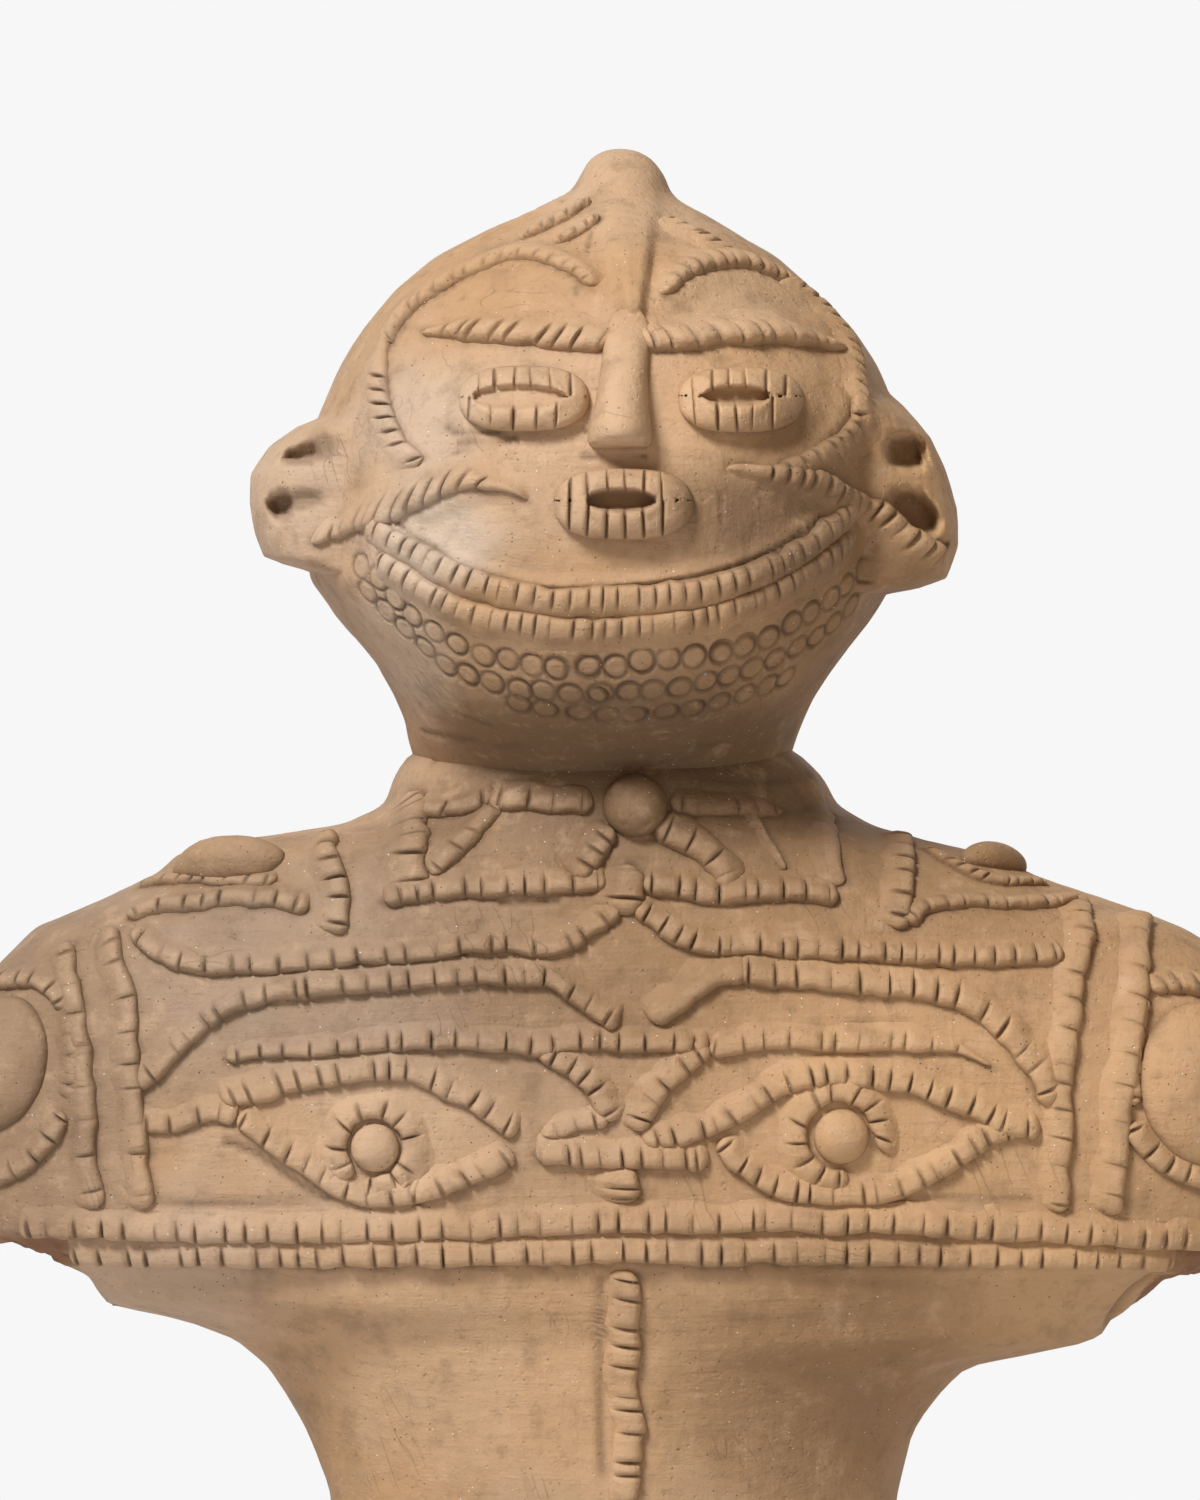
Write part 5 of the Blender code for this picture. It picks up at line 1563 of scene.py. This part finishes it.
@dataclass
class Surface:
    """What the relief and the tools leave on the bare bodies."""

    ground: Ground
    spines: KDTree
    halves: list[float]
    edges: KDTree
    punch_step: float = 5.0
    punch_radius: float = 2.28

    @classmethod
    def around(cls, ground: Ground, batches: Sequence[Batch]) -> "Surface":
        """Index the courses and the crisp edges of all the relief."""
        spots = [(point, half) for batch in batches for points, half in batch.spines for point in points]
        edges = [point for batch in batches for points in batch.edges for point in points]
        return cls(ground, cls.index([point for point, _ in spots]), [half for _, half in spots], cls.index(edges))

    @staticmethod
    def index(points: Sequence[np.ndarray]) -> KDTree:
        """A search tree of points."""
        tree = KDTree(len(points))
        for k, point in enumerate(points):
            tree.insert(point, k)
        tree.balance()
        return tree

    def mark(self, skin: Skin, seed: int) -> np.ndarray:
        """How far hand-shaping and the relief move a body's vertices, with painted shade noted along the relief's
        crisp edges.

        Args:
            skin: the body.
            seed: start of its waves.

        Returns:
            The outward moves.
        """
        points = skin.points()
        gap, edge = np.empty(len(points)), np.empty(len(points))
        for k, point in enumerate(points):
            _, index, distance = self.spines.find(point)
            gap[k] = distance - self.halves[index]
            edge[k] = self.edges.find(point)[2]
        # Near the relief's crisp edges: a shallow groove, and painted shade noted there.
        beside = np.exp(-((edge - 0.1) / 0.75) ** 2)
        swell = np.exp(-(np.clip(gap + 0.6, 0.0, None) / 1.9) ** 2)
        small = Ripple(4.5, seed + 2).at(points)
        patchy = ease(-0.5, 0.5, Ripple(9.0, seed + 5).at(points))
        skin.note("painted_shade_and_dark_marks", beside * (0.25 + 0.50 * patchy))
        return 0.08 * small + 0.12 * swell - 0.40 * beside * (0.4 + 0.6 * patchy)

    def draw(self, skin: Skin, lines: Sequence[Line]) -> tuple[np.ndarray, np.ndarray]:
        """Depth and darkness of drawn lines at a body's vertices."""
        points = skin.points()
        depth, dark = np.zeros(len(points)), np.zeros(len(points))
        for line in lines:
            hits = [self.ground.drop(x, z) for x, z in curve_through(line.path, 0.5)]
            spots = np.array([hit[0] for hit in hits if hit is not None])
            low, high = spots.min(axis=0) - 3.0, spots.max(axis=0) + 3.0
            close = np.nonzero(((points > low) & (points < high)).all(axis=1))[0]
            near = np.linalg.norm(points[close, None, :] - spots[None, :, :], axis=2).min(axis=1)
            cut = np.exp(-(near / (0.55 * line.width)) ** 2)
            lip = np.exp(-((near - 1.25 * line.width) / (0.6 * line.width)) ** 2)
            depth[close] = np.maximum(depth[close], cut * line.depth) - 0.25 * lip * line.depth * (cut < 0.3)
            dark[close] = np.maximum(dark[close], cut * min(1.0, 0.35 + line.depth))
        return depth, dark

    def punch(self, skin: Skin) -> tuple[np.ndarray, np.ndarray]:
        """Depth and darkness of the rings punched along the jaw with a hollow stem."""
        rng = np.random.default_rng(SEED)
        centres = []
        for row in PUNCH_ROWS:
            hits = [self.ground.drop(x, z) for x, z in curve_through(row, 0.4)]
            spots = np.array([hit[0] for hit in hits if hit is not None])
            run = np.concatenate([[0.0], np.cumsum(np.linalg.norm(np.diff(spots, axis=0), axis=1))])
            count = round(run[-1] / self.punch_step)
            along = (np.arange(count) + 0.5) * run[-1] / count + rng.normal(0.0, 0.28, count)
            centres.append(np.stack([np.interp(along, run, c) for c in spots.T], axis=1))
        centres = np.concatenate(centres) + rng.normal(0.0, 0.22, (sum(map(len, centres)), 3))
        twice = rng.uniform(size=len(centres)) < 0.14
        again = centres[twice] + rng.normal(0.0, 0.55, (int(twice.sum()), 3))
        points = skin.points()
        depth, dark = np.zeros(len(points)), np.zeros(len(points))
        low, high = centres.min(axis=0) - 4.0, centres.max(axis=0) + 4.0
        close = np.nonzero(((points > low) & (points < high)).all(axis=1))[0]
        for centre in (*centres, *again):
            off = points[close] - centre
            far = np.linalg.norm(off, axis=1)
            turn = np.arctan2(off[:, 2], off[:, 0])
            even = 0.72 + 0.28 * np.cos(turn - rng.uniform(0.0, 2.0 * math.pi))
            size = self.punch_radius * rng.uniform(0.95, 1.05)
            cut = np.exp(-((far - size) / 0.33) ** 2) * even * rng.uniform(0.68, 1.0)
            depth[close] = np.maximum(depth[close], cut * 0.85)
            dark[close] = np.maximum(dark[close], cut ** 0.65)
        return depth, dark


@dataclass(frozen=True)
class Fracture:
    """The broken arms: a hollow from below on each side, with a ragged reddish edge."""

    wall: float = 6.2
    rim: float = 166.5

    def hollow(self, clay: Skin) -> Skin:
        """Cut the arms' hollows into the trunk."""
        cutter = Batch("arm_hollows")
        form = Form(STUB_LEVELS, 1.5, 1.5)
        angles = np.linspace(0.0, 2.0 * math.pi, 65)[:-1]
        levels = form.rows(44, lambda _: np.ones(1))[1:-1]
        for side in (-1.0, 1.0):
            grid = np.stack([form.lay(np.repeat(level[None, :], 64, axis=0), angles) for level in levels])
            grid[..., 0] *= side
            grid += 0.35 * Ripple(9.0, 70).at(grid.reshape(-1, 3)).reshape(grid.shape[:2])[..., None]
            cutter.ball(grid, grid[0].mean(axis=0), grid[-1].mean(axis=0), {})
        tool = bpy.data.objects.new("arm_hollows", cutter.skin().mesh)
        rough = bpy.data.objects.new("cutting", clay.mesh)
        for thing in (tool, rough):
            bpy.context.scene.collection.objects.link(thing)
        cut = rough.modifiers.new("hollow", "BOOLEAN")
        cut.operation = "DIFFERENCE"
        cut.solver = "EXACT"
        cut.object = tool
        bpy.context.view_layer.update()
        graph = bpy.context.evaluated_depsgraph_get()
        made = bpy.data.meshes.new_from_object(rough.evaluated_get(graph))
        name = clay.mesh.name
        bpy.data.objects.remove(rough, do_unlink=True)
        bpy.data.objects.remove(tool, do_unlink=True)
        bpy.data.meshes.remove(clay.mesh)
        made.name = name
        return Skin.wrap(made)

    def mark(self, skin: Skin) -> None:
        """Note and roughen what is broken."""
        points = skin.points()
        x, y, z = points.T
        rag = Ripple(7.0, 81).at(points) + 0.7 * Ripple(2.6, 82).at(points)
        outer = ease(95.0, 101.0, np.abs(x) + 1.5 * rag)
        under = 1.0 - ease(self.rim - 2.5, self.rim + 0.6, z + 1.2 * rag)
        inside = ease(1.5, 3.0, self.depth_inside(points))
        broken = np.clip(outer * under + inside, 0.0, 1.0) * (z > 148.0)
        skin.note("broken", broken)
        rough = Ripple(3.4, 83).at(points) + 0.6 * Ripple(1.7, 84).at(points)
        skin.push(0.55 * rough * broken)

    def depth_inside(self, points: np.ndarray) -> np.ndarray:
        """How far inside the bare trunk's outline each point lies, near the arms' hollows."""
        x, y, z = points.T
        middle = np.hypot((np.abs(x) - 104.0) / 15.0, (y - AXIS_Y) / 24.0)
        return 4.0 * (1.0 - ease(0.75, 1.02, middle)) * ((z > 150.0) & (z < 197.0) & (np.abs(x) < 121.0))


# The studio


@dataclass(frozen=True)
class Studio:
    """A pale sweep, soft lights and the camera at the photograph's place."""

    distance: float = 5.0
    plane_y: float = -15.0
    pixels_per_unit: float = 5.6
    picture_height: float = 1500.0
    aim_x: float = -4.46
    aim_z: float = 252.32
    floor_width: float = 36.0
    wall_y: float = 11.0

    def camera(self) -> None:
        """Look straight at the figure with a long lens."""
        data = bpy.data.cameras.new("camera")
        data.sensor_fit = "VERTICAL"
        data.sensor_height = 24.0
        seen = self.picture_height / self.pixels_per_unit * UNIT
        data.lens = data.sensor_height * self.distance / seen
        data.clip_end = 30.0
        camera = bpy.data.objects.new("camera", data)
        bpy.context.scene.collection.objects.link(camera)
        camera.location = (self.aim_x * UNIT, self.plane_y * UNIT - self.distance, self.aim_z * UNIT)
        camera.rotation_euler = (math.radians(90.0), 0.0, 0.0)
        bpy.context.scene.camera = camera

    def sweep(self) -> None:
        """A floor that curves up into a wall."""
        bm = bmesh.new()
        side, wall, bend = 0.5 * self.floor_width, self.wall_y, 0.8
        turn = [(-side, wall - bend + math.sin(a) * bend, bend - math.cos(a) * bend)
                for a in np.linspace(0.15, 1.57, 12)]
        spine = [bm.verts.new(p) for p in (
            (-side, -9.0, 0.0), (-side, 1.6, 0.0), (-side, wall - bend, 0.0), *turn, (-side, wall, 23.0))]
        edges = [bm.edges.new(pair) for pair in zip(spine, spine[1:])]
        made = bmesh.ops.extrude_edge_only(bm, edges=edges)["geom"]
        moved = [v for v in made if isinstance(v, bmesh.types.BMVert)]
        bmesh.ops.translate(bm, verts=moved, vec=(self.floor_width, 0.0, 0.0))
        bmesh.ops.recalc_face_normals(bm, faces=bm.faces)
        mesh = bpy.data.meshes.new("sweep")
        bm.to_mesh(mesh)
        bm.free()
        mesh.shade_smooth()
        mesh.materials.append(self.paper("pale_paper", 0.75, 0.0))
        mesh.materials.append(self.paper("lit_paper", 0.0, 0.931))
        for face in mesh.polygons:
            face.material_index = int(face.center.y > 1.6)
        stage = bpy.data.objects.new("sweep", mesh)
        bpy.context.scene.collection.objects.link(stage)

    @staticmethod
    def paper(name: str, shade: float, glow: float) -> bpy.types.Material:
        """Plain paper with a grey of its own and an even glow."""
        paper = bpy.data.materials.new(name)
        paper.use_nodes = True
        shader = paper.node_tree.nodes["Principled BSDF"]
        shader.inputs["Base Color"].default_value = (shade, shade, shade, 1.0)
        shader.inputs["Roughness"].default_value = 0.9
        shader.inputs["Specular IOR Level"].default_value = 0.0
        shader.inputs["Emission Color"].default_value = (1.0, 1.0, 1.0, 1.0)
        shader.inputs["Emission Strength"].default_value = glow
        return paper

    def light(self, name: str, place: tuple[float, float, float], aim: tuple[float, float, float],
              size: float, power: float, tint: tuple[float, float, float]) -> None:
        """A square soft light that looks at a point.

        Args:
            name: the light's name.
            place: where it hangs, in metres.
            aim: the point it looks at, in metres.
            size: its side, in metres.
            power: its watts.
            tint: its colour.
        """
        data = bpy.data.lights.new(name, "AREA")
        data.shape = "SQUARE"
        data.size = size
        data.energy = power
        data.color = tint
        lamp = bpy.data.objects.new(name, data)
        lamp.location = place
        lamp.rotation_euler = (Vector(aim) - Vector(place)).to_track_quat("-Z", "Y").to_euler()
        bpy.context.scene.collection.objects.link(lamp)

    def build(self) -> None:
        """Set up the sweep, the lights and the camera."""
        self.sweep()
        self.camera()
        world = bpy.data.worlds.new("studio")
        world.use_nodes = True
        shade = world.node_tree.nodes["Background"]
        shade.inputs["Color"].default_value = (1.0, 0.82, 0.66, 1.0)
        shade.inputs["Strength"].default_value = 0.17
        bpy.context.scene.world = world
        aim = (0.0, 0.0, 0.24)
        self.light("key", (-0.78, -1.08, 1.62), aim, 0.50, 45.0, (0.97, 1.0, 1.05))
        self.light("fill", (0.9, -2.0, 0.9), aim, 1.2, 4.5, (1.0, 0.84, 0.66))
        bpy.context.scene.view_settings.view_transform = "Standard"


def shape_bodies(bodies: list[Skin], surface: Surface) -> list[Skin]:
    """Give the head, trunk and lower body their marks.

    Args:
        bodies: the three bare bodies.
        surface: what the relief and the tools leave.

    Returns:
        The finished bodies.
    """
    head, trunk, lower = bodies
    fracture = Fracture()
    move = surface.mark(head, 0)
    drawn, ink = surface.draw(head, HEAD_LINES)
    punched, rings = surface.punch(head)
    pits = np.stack([pit.press(head.points()) for pit in EAR_PITS])
    bowl = (pits * np.array([pit.depth for pit in EAR_PITS])[:, None]).max(axis=0)
    # Drawn lines and punched rings darkened, and painted shade in the ear pits.
    head.darken(np.maximum(0.80 * ink, rings), 0.55 * pits.max(axis=0))
    head.push(move * (1.0 - pits.max(axis=0)) - drawn - punched)
    points = head.points()
    points[:, 1] += bowl
    head.place(points)
    head.note("broken", np.zeros(len(points)))
    move = surface.mark(trunk, 10)
    drawn, ink = surface.draw(trunk, CHEST_LINES)
    # Drawn lines darkened; the crescent by the right arm's rim is painted shade.
    trunk.darken(0.7 * ink, np.zeros(len(ink)))
    trunk.push(move - drawn)
    trunk = fracture.hollow(trunk)
    fracture.mark(trunk)
    lower.push(surface.mark(lower, 20))
    points = lower.points()
    points[:, 2] = np.maximum(points[:, 2], 0.0)
    lower.place(points)
    lower.note("broken", np.zeros(len(lower.mesh.vertices)))
    for skin in (head, trunk, lower):
        skin.note("proud", np.zeros(len(skin.mesh.vertices)))
    return [head, trunk, lower]


def main() -> None:
    """Build the studio and every piece in order."""
    logging.basicConfig(level=logging.INFO, format="%(relativeCreated)d %(name)s: %(message)s")
    Studio().build()
    clay = FiredClay().build()
    bodies = [hand_shape(part.skin(), 10 * k) for k, part in enumerate((Head(), Trunk(), LowerBody()))]
    LOG.info("bodies made")
    ground = Ground(bodies)
    batches = relief_batches(ground)
    LOG.info("relief laid")
    surface = Surface.around(ground, batches)
    for skin in shape_bodies(bodies, surface):
        finish_piece(skin, clay)
    for batch in batches:
        finish_piece(batch.skin(), clay)


if __name__ == "__main__":
    main()
